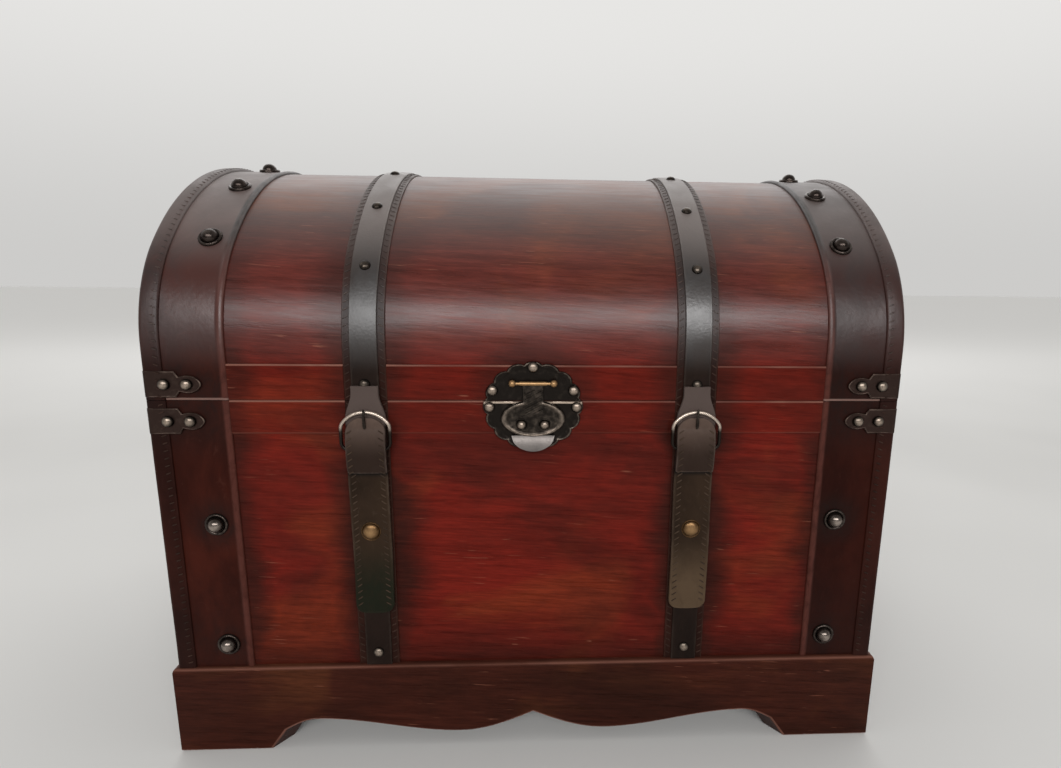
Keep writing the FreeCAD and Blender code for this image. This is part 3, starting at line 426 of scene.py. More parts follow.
class Paint:
    """Adds shader nodes to a material or a world."""

    def __init__(self, owner, shader="Principled BSDF", place="Object"):
        owner.use_nodes = True
        self.owner = owner
        self.nodes, self.links = owner.node_tree.nodes, owner.node_tree.links
        self.shader = self.nodes[shader]
        self.place = self.make("TexCoord", place, {})
        self.x, self.y, self.z = (self.make("SeparateXYZ", axis, {0: self.place}) for axis in "XYZ")
        self.colour = None

    def feed(self, socket, value):
        if isinstance(value, Value):
            self.links.new(value.socket, socket)
        elif isinstance(value, tuple) and len(socket.default_value) > len(value):
            socket.default_value = (*value, 1.0)
        else:
            socket.default_value = value

    def make(self, kind, output, inputs, **settings):
        """The output of a new node with these inputs and settings."""
        node = self.nodes.new("ShaderNode" + kind)
        for name, setting in settings.items():
            setattr(node, name, setting)
        for name, value in inputs.items():
            self.feed(node.inputs[name], value)
        return Value(self, node.outputs[output])

    def math(self, operation, *values):
        return self.make("Math", 0, dict(enumerate(values)), operation=operation)

    def wear(self):
        return self.make("Attribute", "Fac", {}, attribute_name="wear")

    def front(self):
        return self.y.fade(-EDGE, EDGE)

    def lean(self, along, tilt):
        """Coordinates with the grain's axis first and a height that leans along it."""
        first, second = (self.x, self.y) if along == "x" else (self.y, self.x)
        third = self.math("MULTIPLY_ADD", first, tilt, self.z)
        return self.make("CombineXYZ", 0, {0: first, 1: second, 2: third})

    def noise(self, scales, detail=3.0, rough=0.55, twist=0.0, place=None):
        scales = scales if isinstance(scales, tuple) else (scales,) * 3
        place = self.make("VectorMath", 0, {0: place or self.place, 1: scales}, operation="MULTIPLY")
        inputs = {"Vector": place, "Scale": 1.0, "Detail": detail, "Roughness": rough, "Distortion": twist}
        return self.make("TexNoise", "Fac", inputs)

    def mix(self, share, first, second, blend="MIX"):
        return self.make("Mix", 2, {0: share, 6: first, 7: second}, data_type="RGBA", blend_type=blend)

    def coat(self, share, tone, blend="MIX"):
        """Lays a tone over the colour."""
        self.colour = self.mix(share, self.colour, tone, blend)

    def by_height(self, body, shoulder, crown):
        """A value for the box, one for the lid's shoulder and one for the top of its dome."""
        value = self.z.step(SHOULDER_LOW, SHOULDER_HIGH, body, shoulder)
        return value + self.z.step(CROWN_LOW, CROWN_HIGH, 0.0, crown - shoulder)

    def polish(self, levels, share=1.0):
        """Shine of the box, the lid's shoulder and the top of its dome, or only a share of it; one number is
        the shine of the whole surface."""
        socket = self.shader.inputs["Specular IOR Level"]
        if isinstance(levels, float):
            socket.default_value = levels
        else:
            socket.default_value = levels[0]
            self.feed(socket, self.by_height(*levels) * share)

    def bumps(self, *layers):
        """Relief from layers of (height, distance, strength), each over the one before."""
        under = {}
        for height, distance, strength in layers:
            inputs = {"Height": height, "Distance": distance, "Strength": strength, **under}
            under = {"Normal": self.make("Bump", 0, inputs)}
        self.feed(self.shader.inputs["Normal"], under["Normal"])

    def finish(self, rough):
        self.feed(self.shader.inputs["Base Color"], self.colour)
        self.feed(self.shader.inputs["Roughness"], rough)
        return self.owner


HALO_WOBBLE = 0.07
HALO_STRAP = (0.014, 0.048, 0.95)
HALO_BAND = (-0.004, 0.03, 0.9)
HALO_PLINTH = (-0.004, 0.055, 0.8)
HALO_LOCK = (0.034, 0.062, 0.8)
HALO_HEIGHTS = (1.0, 0.75, 0.45)


def halo(paint, cloud):
    """Dark antiquing beside the straps, the bands and the lock and above the plinth, fainter on the dome; it
    also serves as painted shade beside these raised parts.
    """
    across = abs(paint.x)
    wobble = (cloud - 0.5) * HALO_WOBBLE
    front = paint.front()
    strapped = most(front, paint.z.step(SEAM, LID_FOOT))
    from_lock = paint.x.away(paint.z - LOCK_CENTRE)
    dark = most(
        (abs(across - STRAP_X) + wobble).fade(*HALO_STRAP) * strapped,
        (BAND_INNER - across + wobble).fade(*HALO_BAND),
        (paint.z - PLINTH_TOP + wobble).fade(*HALO_PLINTH),
        (from_lock + wobble).fade(*HALO_LOCK) * front,
    )
    return dark * paint.by_height(*HALO_HEIGHTS)


INNER_WEAR = (-0.6, -0.5)
GRAIN_TILT = 0.06
SCRATCH_TONE = (0.3, 0.115, 0.07)
RUBBED_TONE = (0.2, 0.085, 0.06)
DOME_TONES = ((0.062, 0.027, 0.018), (0.12, 0.04, 0.016))
CROWN_ROUGH = 0.12
BARE_SHARE = 0.15


def bare_inside(paint, bare, grain, streak):
    """Bares the inner side of a board and returns how much of the shine is left."""
    depth, reach = (paint.y, HALF_DEPTH) if grain == "x" else (paint.x, HALF_WIDTH)
    inner = abs(depth).fade(reach - LACQUER_DEPTH, reach - LACQUER_DEPTH + EDGE)
    if grain == "x":
        inner = inner * paint.z.fade(SEAM - EDGE, SEAM)
    inner = most(inner, paint.wear().fade(*INNER_WEAR))
    paint.coat(inner, paint.mix(streak.step(0.3, 0.7), dim(bare, 0.55), bare))
    return inner.step(0.0, 1.0, 1.0, BARE_SHARE)


def lacquer(name, bright, dark, glow, bare=None, grain="x", polish=(0.06, 0.4, 0.8), rough=0.3, antique_and_shade=True):
    """Lacquered wood: cloudy, streaked along its grain, antiqued with painted shade beside the straps, bands
    and lock, scratched, bare on its inner side.
    """
    paint = Paint(bpy.data.materials.new(name))
    lean = paint.lean(grain, GRAIN_TILT)
    cloud = paint.noise((7.0, 13.0, 15.0), 5.0, 0.62, 0.4, lean)
    ember = paint.noise((8.0, 9.0, 11.0), 3.0, 0.5, 0.6, paint.lean(grain, -GRAIN_TILT))
    streak = paint.noise((16.0, 230.0, 230.0), 4.0, 0.65, 0.2, lean)
    fibre = paint.noise((70.0, 950.0, 950.0), 2.0, 0.6, 0.3, lean)
    shade = cloud.step(0.36, 0.7, 0.0, 0.62)
    paint.colour = paint.mix(ember.step(0.5, 0.68, 0.0, 0.8), bright, glow)
    if antique_and_shade:
        # antiquing and painted shade beside the straps, bands and lock and above the plinth
        shade = most(shade * paint.by_height(1.0, 0.8, 0.5), halo(paint, cloud))
        paint.coat(paint.by_height(0.0, 0.3, 0.85), paint.mix(ember.step(0.42, 0.62), *DOME_TONES))
    paint.coat(shade, dark)
    paint.coat(1.0, streak.step(0.28, 0.72, 0.78, 1.2), "MULTIPLY")
    paint.coat(1.0, fibre.step(0.25, 0.75, 0.84, 1.16), "MULTIPLY")
    scratch = paint.noise((34.0, 640.0, 640.0), 2.0, 0.5, 0.5, lean).step(0.66, 0.74)
    paint.coat(scratch * paint.noise(21.0, 2.0).step(0.5, 0.6) * 0.4, SCRATCH_TONE)
    paint.coat(paint.wear().step(0.1, 1.0) * ember.step(0.3, 0.55, 0.3, 1.0), RUBBED_TONE)
    paint.polish(polish, bare_inside(paint, bare, grain, streak) if bare else 1.0)
    paint.bumps((streak, 0.00016, 0.5), (fibre, 0.00006, 0.5), (cloud, 0.0012, 0.2))
    gloss = streak.step(0.25, 0.75, rough - 0.05, rough + 0.08)
    return paint.finish(gloss + paint.by_height(0.0, 0.0, CROWN_ROUGH))


# Pale tone on top of the dome: dust, and a painted sheen as well
DUST_AND_SHEEN_TONE = (0.19, 0.15, 0.135)


def leather(name, base, worn_tone, grain=420.0, rough=0.4, polish=(0.06, 0.4, 0.6), tint=None, dust_and_sheen=0.28):
    """Leather with a fine pebble grain, cloudy colour, creases and rubbed edges, dusty on top of the lid with
    a painted sheen in the same pale tone there; tint adds its own marks."""
    paint = Paint(bpy.data.materials.new(name))
    cloud = paint.noise((26.0, 26.0, 13.0), 4.0, 0.6, 0.4)
    crease = paint.noise((110.0, 90.0, 60.0), 5.0, 0.65, 1.2)
    paint.colour = paint.mix(cloud.step(0.32, 0.68), dim(base, 0.5), base)
    paint.coat(crease.step(0.58, 0.75, 0.0, 0.4), worn_tone)
    paint.coat(paint.wear().step(0.15, 0.95) * crease.step(0.35, 0.6, 0.3, 1.0), worn_tone)
    # dust and painted sheen on the top of the dome
    paint.coat(paint.by_height(0.0, 0.0, dust_and_sheen), DUST_AND_SHEEN_TONE)
    if tint:
        tint(paint, crease)
    paint.polish(polish)
    inputs = {"Vector": paint.place, "Scale": grain}
    pebbles = paint.make("TexVoronoi", "Distance", inputs, feature="SMOOTH_F1")
    paint.bumps((pebbles, 0.00012, 0.5), (crease, 0.0003, 0.4))
    gloss = cloud.step(0.3, 0.7, rough + 0.08, rough - 0.06)
    return paint.finish(gloss + paint.by_height(0.0, 0.0, CROWN_ROUGH))


BEAD_TONE = (0.088, 0.028, 0.021)
SEAM_TONE = (0.2, 0.12, 0.1)
SEAM_LINE = 0.0014
RIGHT_SHADE = 0.6
# Dark antiquing round the studs and the seam, and the painted shadow along the band's bead over the dome
ANTIQUE_AND_SHADOW_TONE = (0.012, 0.007, 0.006)
BEAD_SHADOW_LOW, BEAD_SHADOW_HIGH = SEAM + 0.095, SEAM + 0.135
SOOT_SEAM = (0.014, 0.056, 0.8)
SOOT_PLINTH = (0.01, 0.11, 0.5)
SOOT_STUD = (0.009, 0.03, 0.75)


def stud_spots():
    """The different (distance from the middle, height) of the studs on the box."""
    middles = [sum(extent(points), Vector()) / 2 for points in islands("body_band_studs")]
    return sorted({(round(abs(middle.x), 3), round(middle.z, 3)) for middle in middles})


def soot_tint(paint, crease):
    """Dark antiquing round the corner brackets and the studs and above the plinth."""
    soot = most(abs(paint.z - SEAM).fade(*SOOT_SEAM), (paint.z - PLINTH_TOP).fade(*SOOT_PLINTH))
    for across, up in stud_spots():
        spot = (abs(paint.x) - across).away(paint.z - up).fade(*SOOT_STUD)
        soot = most(soot, spot * paint.front())
    paint.coat(soot * crease.step(0.3, 0.6, 1.0, 0.6), ANTIQUE_AND_SHADOW_TONE)


def bead_tint(paint, crease):
    """The band's folded inner edge, pale on the front and with a dark painted shadow along it over the dome,
    and its rubbed lower edge on the lid; the right band is the darker one."""
    paint.coat(1.0, paint.x.step(-EDGE, EDGE, 1.0, RIGHT_SHADE), "MULTIPLY")
    soot_tint(paint, crease)
    bead = (abs(paint.x) - BAND_INNER).fade(BEAD_WIDTH * 0.7, BEAD_WIDTH * 1.3)
    # pale bead on the front, a painted shadow along it over the dome
    tone = paint.mix(paint.z.step(BEAD_SHADOW_LOW, BEAD_SHADOW_HIGH), BEAD_TONE, ANTIQUE_AND_SHADOW_TONE)
    paint.coat(bead * crease.step(0.3, 0.6, 0.45, 0.9), tone)
    above = paint.z - LID_FOOT
    paint.coat(above.step(-EDGE, 0.0) * above.fade(SEAM_LINE, 1.4 * SEAM_LINE, 0.8), SEAM_TONE)


FLAP_END = (0.02, 0.07, 0.92)
# Painted shadow of the tab on the strap end, just under the tab's cut end
FLAP_SHADOW_BAND = (-0.005, -0.001, 0.0, 0.9)
FLAP_ABOVE = (0.0, 0.004, 0.0, 0.9)
FLAP_END_TONES = ((0.0095, 0.0118, 0.0066), (0.088, 0.057, 0.034))
FLAP_ROOT_TONE = (0.09, 0.066, 0.058)
FLAP_SHADE = (0.008, 0.006, 0.005)
# Painted light on the tabs: dark low down, lit grey at the top
TAB_LIGHT_TONES = ((0.025, 0.0145, 0.0105), (0.113, 0.076, 0.06))


def flap_tint(paint, crease):
    """Strap ends: grey at the root, a painted shadow under the tab, greenish black or dusty at the end."""
    end = (paint.z - FLAP_LOW.z).fade(*FLAP_END)
    tone = paint.mix(paint.x.step(-EDGE, EDGE), *FLAP_END_TONES)
    paint.coat(end * crease.step(0.25, 0.6, 0.75, 1.0), tone)
    # painted shadow under the tab
    paint.coat((paint.z - TAB_LOW.z).step(*FLAP_SHADOW_BAND), FLAP_SHADE)
    paint.coat((paint.z - TAB_HIGH.z).step(*FLAP_ABOVE), FLAP_ROOT_TONE)


def tab_tint(paint, crease):
    """Tabs: painted top light, lit grey at the top where they bend round the buckle and dark down at the cut
    end, laid less over their rubbed edges.
    """
    tone = paint.mix(paint.z.step(TAB_LOW.z + 0.012, TAB_HIGH.z + 0.01), *TAB_LIGHT_TONES)
    paint.coat(crease.step(0.25, 0.65, 0.95, 0.7) * paint.wear().step(0.3, 0.9, 1.0, 0.3), tone)


METALLIC = 0.9


def metal(name, dark, bright, rough):
    """Antique metal: dark patina in the hollows, rubbed bright where it stands proud."""
    paint = Paint(bpy.data.materials.new(name))
    patina = paint.noise(190.0, 5.0, 0.65)
    fine = paint.noise(700.0, 3.0, 0.6)
    shine = paint.wear() + patina.step(0.3, 0.7, -0.1, 0.1)
    paint.colour = paint.mix(shine.step(0.05, 0.95), dark, bright)
    paint.shader.inputs["Metallic"].default_value = METALLIC
    paint.bumps((patina, 0.0002, 0.3), (fine, 0.00005, 0.3))
    return paint.finish(fine.step(0.3, 0.7, rough - 0.05, rough + 0.05))


def thread(name, tone):
    """Waxed thread, twisted and a little uneven in colour."""
    paint = Paint(bpy.data.materials.new(name))
    twist = paint.noise(900.0, 2.0)
    paint.colour = paint.mix(paint.noise(40.0, 2.0).step(0.3, 0.7), dim(tone, 0.45), tone)
    paint.polish((0.1, 0.6, 0.9))
    paint.bumps((twist, 0.0002, 0.6))
    return paint.finish(twist.step(0.3, 0.7, 0.4, 0.6))


FLOOR_TONES = ((0.66, 0.655, 0.64), (0.7, 0.695, 0.68))
FLOOR_FAR = (0.96, 0.955, 0.94)


def pale_floor():
    """Pale floor, painted paler behind the chest where the lamps light it less, so that it meets the backdrop
    softly.
    """
    paint = Paint(bpy.data.materials.new("pale_floor"))
    paint.colour = paint.mix(paint.noise(1.5, 2.0).step(0.3, 0.7), *FLOOR_TONES)
    # painted light: paler floor behind the chest
    paint.coat(paint.y.step(0.6, 2.4), FLOOR_FAR)
    paint.polish(0.2)
    paint.bumps((paint.noise(60.0, 4.0), 0.0004, 0.15))
    return paint.finish(0.75)


BARE = (0.16, 0.088, 0.048)
DULL = 0.06
RED_WOOD = lacquer("red_lacquer", (0.13, 0.0105, 0.006), (0.03, 0.0075, 0.005), (0.17, 0.025, 0.009), BARE)
END_WOOD = lacquer("end_lacquer", (0.12, 0.0105, 0.006), (0.03, 0.0075, 0.005), (0.16, 0.023, 0.008), BARE,
                   "y", (0.06, 0.2, 0.2))
TRIM_WOOD = lacquer("trim_lacquer", (0.118, 0.0095, 0.005), (0.045, 0.008, 0.005), (0.145, 0.017, 0.007),
                    polish=DULL)
PLINTH_TONES = ((0.043, 0.0105, 0.006), (0.016, 0.0056, 0.0036), (0.075, 0.022, 0.009))
PLINTH_WOOD = lacquer("plinth_lacquer", *PLINTH_TONES, polish=DULL, antique_and_shade=False)
PLINTH_END = lacquer("plinth_end_lacquer", *PLINTH_TONES, None, "y", DULL, antique_and_shade=False)
BARE_WOOD = lacquer("bare_wood", BARE, dim(BARE, 0.6), BARE, polish=DULL, rough=0.55, antique_and_shade=False)
BAND_LEATHER = leather("band_leather", (0.05, 0.009, 0.0047), (0.07, 0.022, 0.015), 300.0, 0.38,
                       (0.06, 0.6, 1.0), bead_tint, 0.42)
BINDING_LEATHER = leather("binding_leather", (0.034, 0.0085, 0.0055), (0.06, 0.024, 0.019), 360.0, 0.42,
                          (0.06, 0.5, 0.9), soot_tint)
BASE_LEATHER = leather("base_leather", (0.028, 0.0098, 0.0066), (0.05, 0.022, 0.016))
STRAP_LEATHER = leather("strap_leather", (0.018, 0.0098, 0.007), (0.035, 0.025, 0.02), 480.0, 0.34,
                        (0.08, 1.0, 1.0), dust_and_sheen=0.6)
FLAP_LEATHER = leather("flap_leather", (0.032, 0.0185, 0.011), (0.075, 0.052, 0.037), polish=DULL,
                       tint=flap_tint)
TAB_LEATHER = leather("tab_leather", (0.05, 0.033, 0.026), (0.12, 0.09, 0.075), polish=DULL, tint=tab_tint)
BRONZE = metal("dark_bronze", (0.013, 0.01, 0.008), (0.5, 0.4, 0.32), 0.34)
BRACKET_BRONZE = metal("bracket_bronze", (0.036, 0.021, 0.017), (0.4, 0.3, 0.24), 0.4)
STUD_BRONZE = metal("stud_bronze", (0.036, 0.027, 0.023), (0.52, 0.44, 0.38), 0.25)
STEEL = metal("hinge_metal", (0.05, 0.036, 0.024), (0.3, 0.23, 0.16), 0.42)
SILVER = metal("worn_silver", (0.055, 0.049, 0.045), (0.22, 0.197, 0.184), 0.48)
BUCKLE_METAL = metal("buckle_metal", (0.02, 0.015, 0.012), (0.6, 0.5, 0.42), 0.3)
BRASS = metal("aged_brass", (0.09, 0.047, 0.019), (0.46, 0.275, 0.13), 0.36)
THREAD = thread("dark_thread", (0.05, 0.026, 0.019))
FLAP_THREAD = thread("strap_thread", (0.066, 0.042, 0.028))


def coat_node(node, paint, bevel=0.0006):
    """Gives a frame node its material and eases its edges."""
    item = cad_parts[node]
    item.data.materials.clear()
    item.data.materials.append(paint)
    ease = item.modifiers.new("eased_edges", "BEVEL")
    ease.width = bevel
    ease.segments = 2
    ease.limit_method = "ANGLE"
    ease.angle_limit = math.radians(35)


# Wood

for node in ("front_wall", "back_wall"):
    coat_node(node, RED_WOOD)
for node in ("left_wall", "right_wall", "lid_left_end", "lid_right_end"):
    coat_node(node, END_WOOD)
for node in ("floor_panel", "lid_front_rail", "lid_back_rail"):
    coat_node(node, BARE_WOOD)
coat_node("plinth_corner_blocks", BARE_WOOD)

DOME_COLUMNS = 80
DOME_WAVES = 16
DOME_STRETCH = 0.35
DOME_WAVE = 0.0004


def dome_panel():
    """Bent lid panel: a thin board over the arch, a little uneven as bent wood is."""
    rows = []
    for point, normal, along in LID_OVER:
        face = []
        back = []
        for across in spread(-HALF_WIDTH, HALF_WIDTH, DOME_COLUMNS):
            spot = point + ACROSS * across
            wave = wander(Vector((across * DOME_STRETCH, spot.y, spot.z)), DOME_WAVES, DOME_WAVE)
            face.append((spot + normal * wave, 0.0))
            back.append((spot - normal * PANEL_THICKNESS, -1.0))
        rows.append(face + back[::-1])
    Form(rows).piece("dome_panel", RED_WOOD, "lid", "red_wood", "lid_dome_panel")


dome_panel()

FOOT_WIDTH = 0.076
SLOPE_RUN = 0.013
SLOPE_HEIGHT = 0.018
PEAK_HEIGHT = 0.028
TROUGH_HEIGHT = 0.0133
CUSP_HEIGHT = 0.031
PEAK_SHARE = 0.82
TROUGH_SHARE = 0.28
PLINTH_BOARD = PLINTH_HIGH.y - PLINTH_LOW.y
PLINTH_ROUND = 0.003
PLINTH_EASE = 0.0012
PLINTH_COLUMNS = 160


def skirt_height(along, half):
    """Lower edge of a plinth board at a distance from its middle."""
    along = abs(along)
    foot = half - FOOT_WIDTH
    slope = foot - SLOPE_RUN
    peak = foot * PEAK_SHARE
    trough = foot * TROUGH_SHARE
    if along >= foot:
        return 0.0
    if along >= slope:
        return SLOPE_HEIGHT * (foot - along) / SLOPE_RUN
    if along >= peak:
        share = (slope - along) / (slope - peak)
        return SLOPE_HEIGHT + (PEAK_HEIGHT - SLOPE_HEIGHT) * math.sin(share * math.pi / 2)
    if along >= trough:
        return TROUGH_HEIGHT + (PEAK_HEIGHT - TROUGH_HEIGHT) * smooth(along, trough, peak)
    share = 1 - along / trough
    return TROUGH_HEIGHT + (CUSP_HEIGHT - TROUGH_HEIGHT) * (1 - math.cos(share * math.pi / 2))


def plinth_section(low):
    """Section (depth, height, wear) of a plinth board over its lower edge."""
    rubbed = 0.85 if low > 0 else 0.6
    heights = spread(low + 4 * PLINTH_EASE, PLINTH_TOP - 2 * PLINTH_ROUND, 8)
    return [
        (PLINTH_BOARD, low, 0.0), (2 * PLINTH_EASE, low, 0.0), (PLINTH_EASE, low, rubbed),
        (0.0, low + PLINTH_EASE, rubbed), (0.0, low + 2 * PLINTH_EASE, 0.0),
        *((0.0, height, 0.0) for height in heights),
        (0.0, PLINTH_TOP - PLINTH_ROUND, 0.1), (0.3 * PLINTH_ROUND, PLINTH_TOP - 0.3 * PLINTH_ROUND, 0.75),
        (PLINTH_ROUND, PLINTH_TOP, 0.3), (PLINTH_BOARD, PLINTH_TOP, 0.0),
    ]


def plinth_board(word, half, face, turn, paint):
    """One mitred board, built along X in front and turned to its side."""
    foot = half - FOOT_WIDTH
    corners = [side * edge for side in (-1, 1) for edge in (foot, foot - SLOPE_RUN)]
    turned = Matrix.Rotation(turn, 3, "Z")
    rows = [
        [
            (turned @ Vector((mark * (half - depth) / half, depth - face, height)), worn)
            for depth, height, worn in plinth_section(skirt_height(mark, half))
        ]
        for mark in sorted(set(spread(-half, half, PLINTH_COLUMNS) + [0.0] + corners))
    ]
    Form(rows).piece(f"plinth_board_{word}", paint, "box", "plinth_wood", f"plinth_{word}")


PLINTH_HALF_X = PLINTH_HIGH.x
PLINTH_HALF_Y = -PLINTH_LOW.y
plinth_board("front", PLINTH_HALF_X, PLINTH_HALF_Y, 0.0, PLINTH_WOOD)
plinth_board("back", PLINTH_HALF_X, PLINTH_HALF_Y, math.pi, PLINTH_WOOD)
plinth_board("right", PLINTH_HALF_Y, PLINTH_HALF_X, math.pi / 2, PLINTH_END)
plinth_board("left", PLINTH_HALF_Y, PLINTH_HALF_X, -math.pi / 2, PLINTH_END)

TRIM_EDGE = 0.0009
TRIM_WAVES = 40


def trim_strip(name, node, body, worn_top, worn_bottom):
    """Flat strips along the seam between the straps, with rubbed edges."""
    form = Form()
    for points in islands(node):
        low, high = extent(points)
        section = (
            (high.y, low.z, 0.0), (low.y + TRIM_EDGE / 2, low.z, worn_bottom),
            (low.y, low.z + TRIM_EDGE, worn_bottom), (low.y, low.z + 2 * TRIM_EDGE, 0.0),
            (low.y, (low.z + high.z) / 2, 0.0), (low.y, high.z - 2 * TRIM_EDGE, 0.0),
            (low.y, high.z - TRIM_EDGE, worn_top), (low.y + TRIM_EDGE / 2, high.z, worn_top),
            (high.y, high.z, worn_top),
        )
        rows = []
        for across in spread(low.x, high.x, round((high.x - low.x) / PATH_STEP)):
            drift = wander(Vector((across, 0, high.z)), TRIM_WAVES, UNEVEN)
            rows.append([(Vector((across, depth + drift, height)), worn) for depth, height, worn in section])
        form.grid(rows)
    form.piece(name, TRIM_WOOD, body, "trim_wood", node)


trim_strip("lid_trim", "lid_trim_strip", "lid", 1.0, 0.25)
trim_strip("body_trim", "body_trim_strip", "box", 0.85, 0.4)

# Leather bands and stitched edge bindings

BAND_COLUMNS = 40
BINDING_INNER = HALF_WIDTH - 0.013
BINDING_WRAP = 0.0115
BINDING_ROUND = 0.0028
BINDING_CROWN = 0.0009
CROWN_RUN = 0.05
STITCH_PITCH = 0.0062
BINDING_STITCH = 0.0042
BINDING_SLANT = 0.35
BINDING_MARGIN = 0.0035


def band_rise(across):
    """The folded bead along a band's inner edge."""
    inside = abs(across) - BAND_INNER
    return BEAD_RISE * math.sin(math.pi * inside / BEAD_WIDTH) if inside <= BEAD_WIDTH else 0.0


def band(name, sides, path, body, node):
    form = Form()
    for side in sides:
        low, high = sorted((side * BAND_INNER, side * HALF_WIDTH))
        form.grid(sweep(path, strip_section(low, high, GLUE, BAND_FACE, band_rise, BAND_COLUMNS)))
    form.piece(name, BAND_LEATHER, body, "band_leather", node)


def binding_section(side):
    """Cross-section of a binding folded round the edge, from the face to the end."""
    section = [
        (BINDING_INNER, BAND_FACE, 0.0), (BINDING_INNER, BINDING_FACE - 3 * EDGE, 0.2),
        (BINDING_INNER + EDGE, BINDING_FACE - EDGE, 0.45), (BINDING_INNER + 3 * EDGE, BINDING_FACE, 0.1),
    ]
    flat = spread(BINDING_INNER + 6 * EDGE, BINDING_OUTER - 1.2 * BINDING_ROUND, 5)
    section += [(across, BINDING_FACE, 0.0) for across in flat]
    for turn in spread(0.0, math.pi / 2, 6):
        across = BINDING_OUTER - BINDING_ROUND * (1 - math.sin(turn))
        section.append((across, BINDING_FACE - BINDING_ROUND * (1 - math.cos(turn)), 0.35))
    section += [
        (BINDING_OUTER, -BINDING_WRAP + EDGE, 0.3), (BINDING_OUTER - EDGE, -BINDING_WRAP, 0.8),
        (HALF_WIDTH + GLUE, -BINDING_WRAP, 0.2), (HALF_WIDTH + GLUE, BAND_FACE, 0.0),
    ]
    return [(side * across, out, worn) for across, out, worn in section]


def lid_crown(across, along):
    """Padding of the lid's binding over the dome, none where the brackets sit."""
    inside = (abs(across) - BINDING_INNER) / (BINDING_OUTER - BINDING_INNER)
    from_end = min(along, LID.length - along)
    return BINDING_CROWN * max(math.sin(math.pi * inside), 0.0) * smooth(from_end, CROWN_RUN, 2 * CROWN_RUN)


def binding(name, sides, paths, body, node, swell=None):
    form = Form()
    thread_form = Form()
    for side in sides:
        for path in paths:
            form.grid(sweep(path, binding_section(side), swell))
            stitches(thread_form, path, side * (BINDING_INNER + BINDING_MARGIN), BINDING_FACE + EDGE,
                     BINDING_STITCH, STITCH_PITCH, side * BINDING_SLANT)
    form.piece(name, BINDING_LEATHER, body, "binding_leather", node)
    thread_form.piece(f"{name}_stitches", THREAD, body, "binding_leather")


for word, side in SIDES:
    band(f"lid_band_leather_{word}", (side,), LID_OVER, "lid", f"lid_band_{word}")
    band(f"front_band_leather_{word}", (side,), BODY_FRONT, "box", f"body_band_front_{word}")
    binding(f"lid_edge_binding_{word}", (side,), (LID_OVER,), "lid", f"lid_binding_{word}", lid_crown)
band("back_band_leather", (-1, 1), BODY_BACK, "box", "body_bands_back")
binding("body_edge_bindings", (-1, 1), (BODY_FRONT, BODY_BACK), "box", "body_bindings")

# Straps over the lid and down the front

BASE_COLUMNS = 20
STRAP_STITCH = 0.0046
STRAP_SLANT = 0.5
STRAP_CROWN = 0.0004


def crowned(middle, half, rise):
    return lambda across: rise * (1 - ((across - middle) / half) ** 2)


def strap(word, side, where, path, body):
    """Stitched base and the narrow strap on it."""
    middle = side * STRAP_X
    wide = strip_section(middle - BASE_HALF, middle + BASE_HALF, GLUE, BASE_FACE, None, BASE_COLUMNS)
    base = Form(sweep(path, wide))
    base.piece(f"{where}_base_leather_{word}", BASE_LEATHER, body, "base_leather",
               f"{where}_strap_base_{word}")
    node = f"{where}_strap_{word}"
    low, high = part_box(node)
    reach = [step for step in path if low.z <= step[0].z <= high.z]
    rise = crowned(middle, STRAP_HALF, STRAP_CROWN)
    slim = strip_section(middle - STRAP_HALF, middle + STRAP_HALF, BASE_FACE + GLUE, STRAP_FACE, rise)
    narrow = Form(sweep(reach, slim))
    narrow.piece(f"{where}_strap_leather_{word}", STRAP_LEATHER, body, "strap_leather", node)
    seam(f"{where}_strap_stitches_{word}", THREAD, body, "base_leather", path, middle,
         (BASE_HALF + STRAP_HALF) / 2, BASE_FACE, STRAP_STITCH, STITCH_PITCH, -STRAP_SLANT)


for word, side in SIDES:
    strap(word, side, "lid", LID_OVER, "lid")
    strap(word, side, "body", BODY_FRONT, "box")

# Loose strap ends

FLAP_HALF = (FLAP_HIGH.x - FLAP_LOW.x) / 2
FLAP_BACK = FRONT - FLAP_HIGH.y
FLAP_FACE = FRONT - FLAP_LOW.y
FLAP_TIP = 0.0075
FLAP_ROOT = 0.006
FLAP_WIDENS = 0.02
FLAP_CROWN = 0.0005
FLAP_STITCH = 0.005
FLAP_PITCH = 0.0056
FLAP_SLANT = 0.6
FLAP_MARGIN = 0.0042
FLAP_ROWS, TIP_ROWS, FLAP_COLUMNS = 60, 9, 14
FLAP_WAVES = 60
FLAP_CUT = 0.003
SWAY = 0.0008
SWAY_WAVES = 14
BEND_REACH = Vector((0, 0, 0.004))


def flap_half(height):
    """Half the width of a strap end: narrow under its nail, wider at the buckle, rounded at its tip."""
    above_tip = height - FLAP_LOW.z
    if above_tip < FLAP_TIP:
        return FLAP_HALF - FLAP_TIP + math.sqrt(max(FLAP_TIP ** 2 - (FLAP_TIP - above_tip) ** 2, 0.0))
    return FLAP_HALF + (STRAP_HALF - FLAP_HALF) * smooth(height, FLAP_HIGH.z - FLAP_WIDENS, FLAP_HIGH.z)


def flap_seam(name, word, path, middle, half, out):
    seam(name, FLAP_THREAD, f"strap_{word}", "flap_leather", path, middle, half - FLAP_MARGIN, out,
         FLAP_STITCH, FLAP_PITCH, FLAP_SLANT)


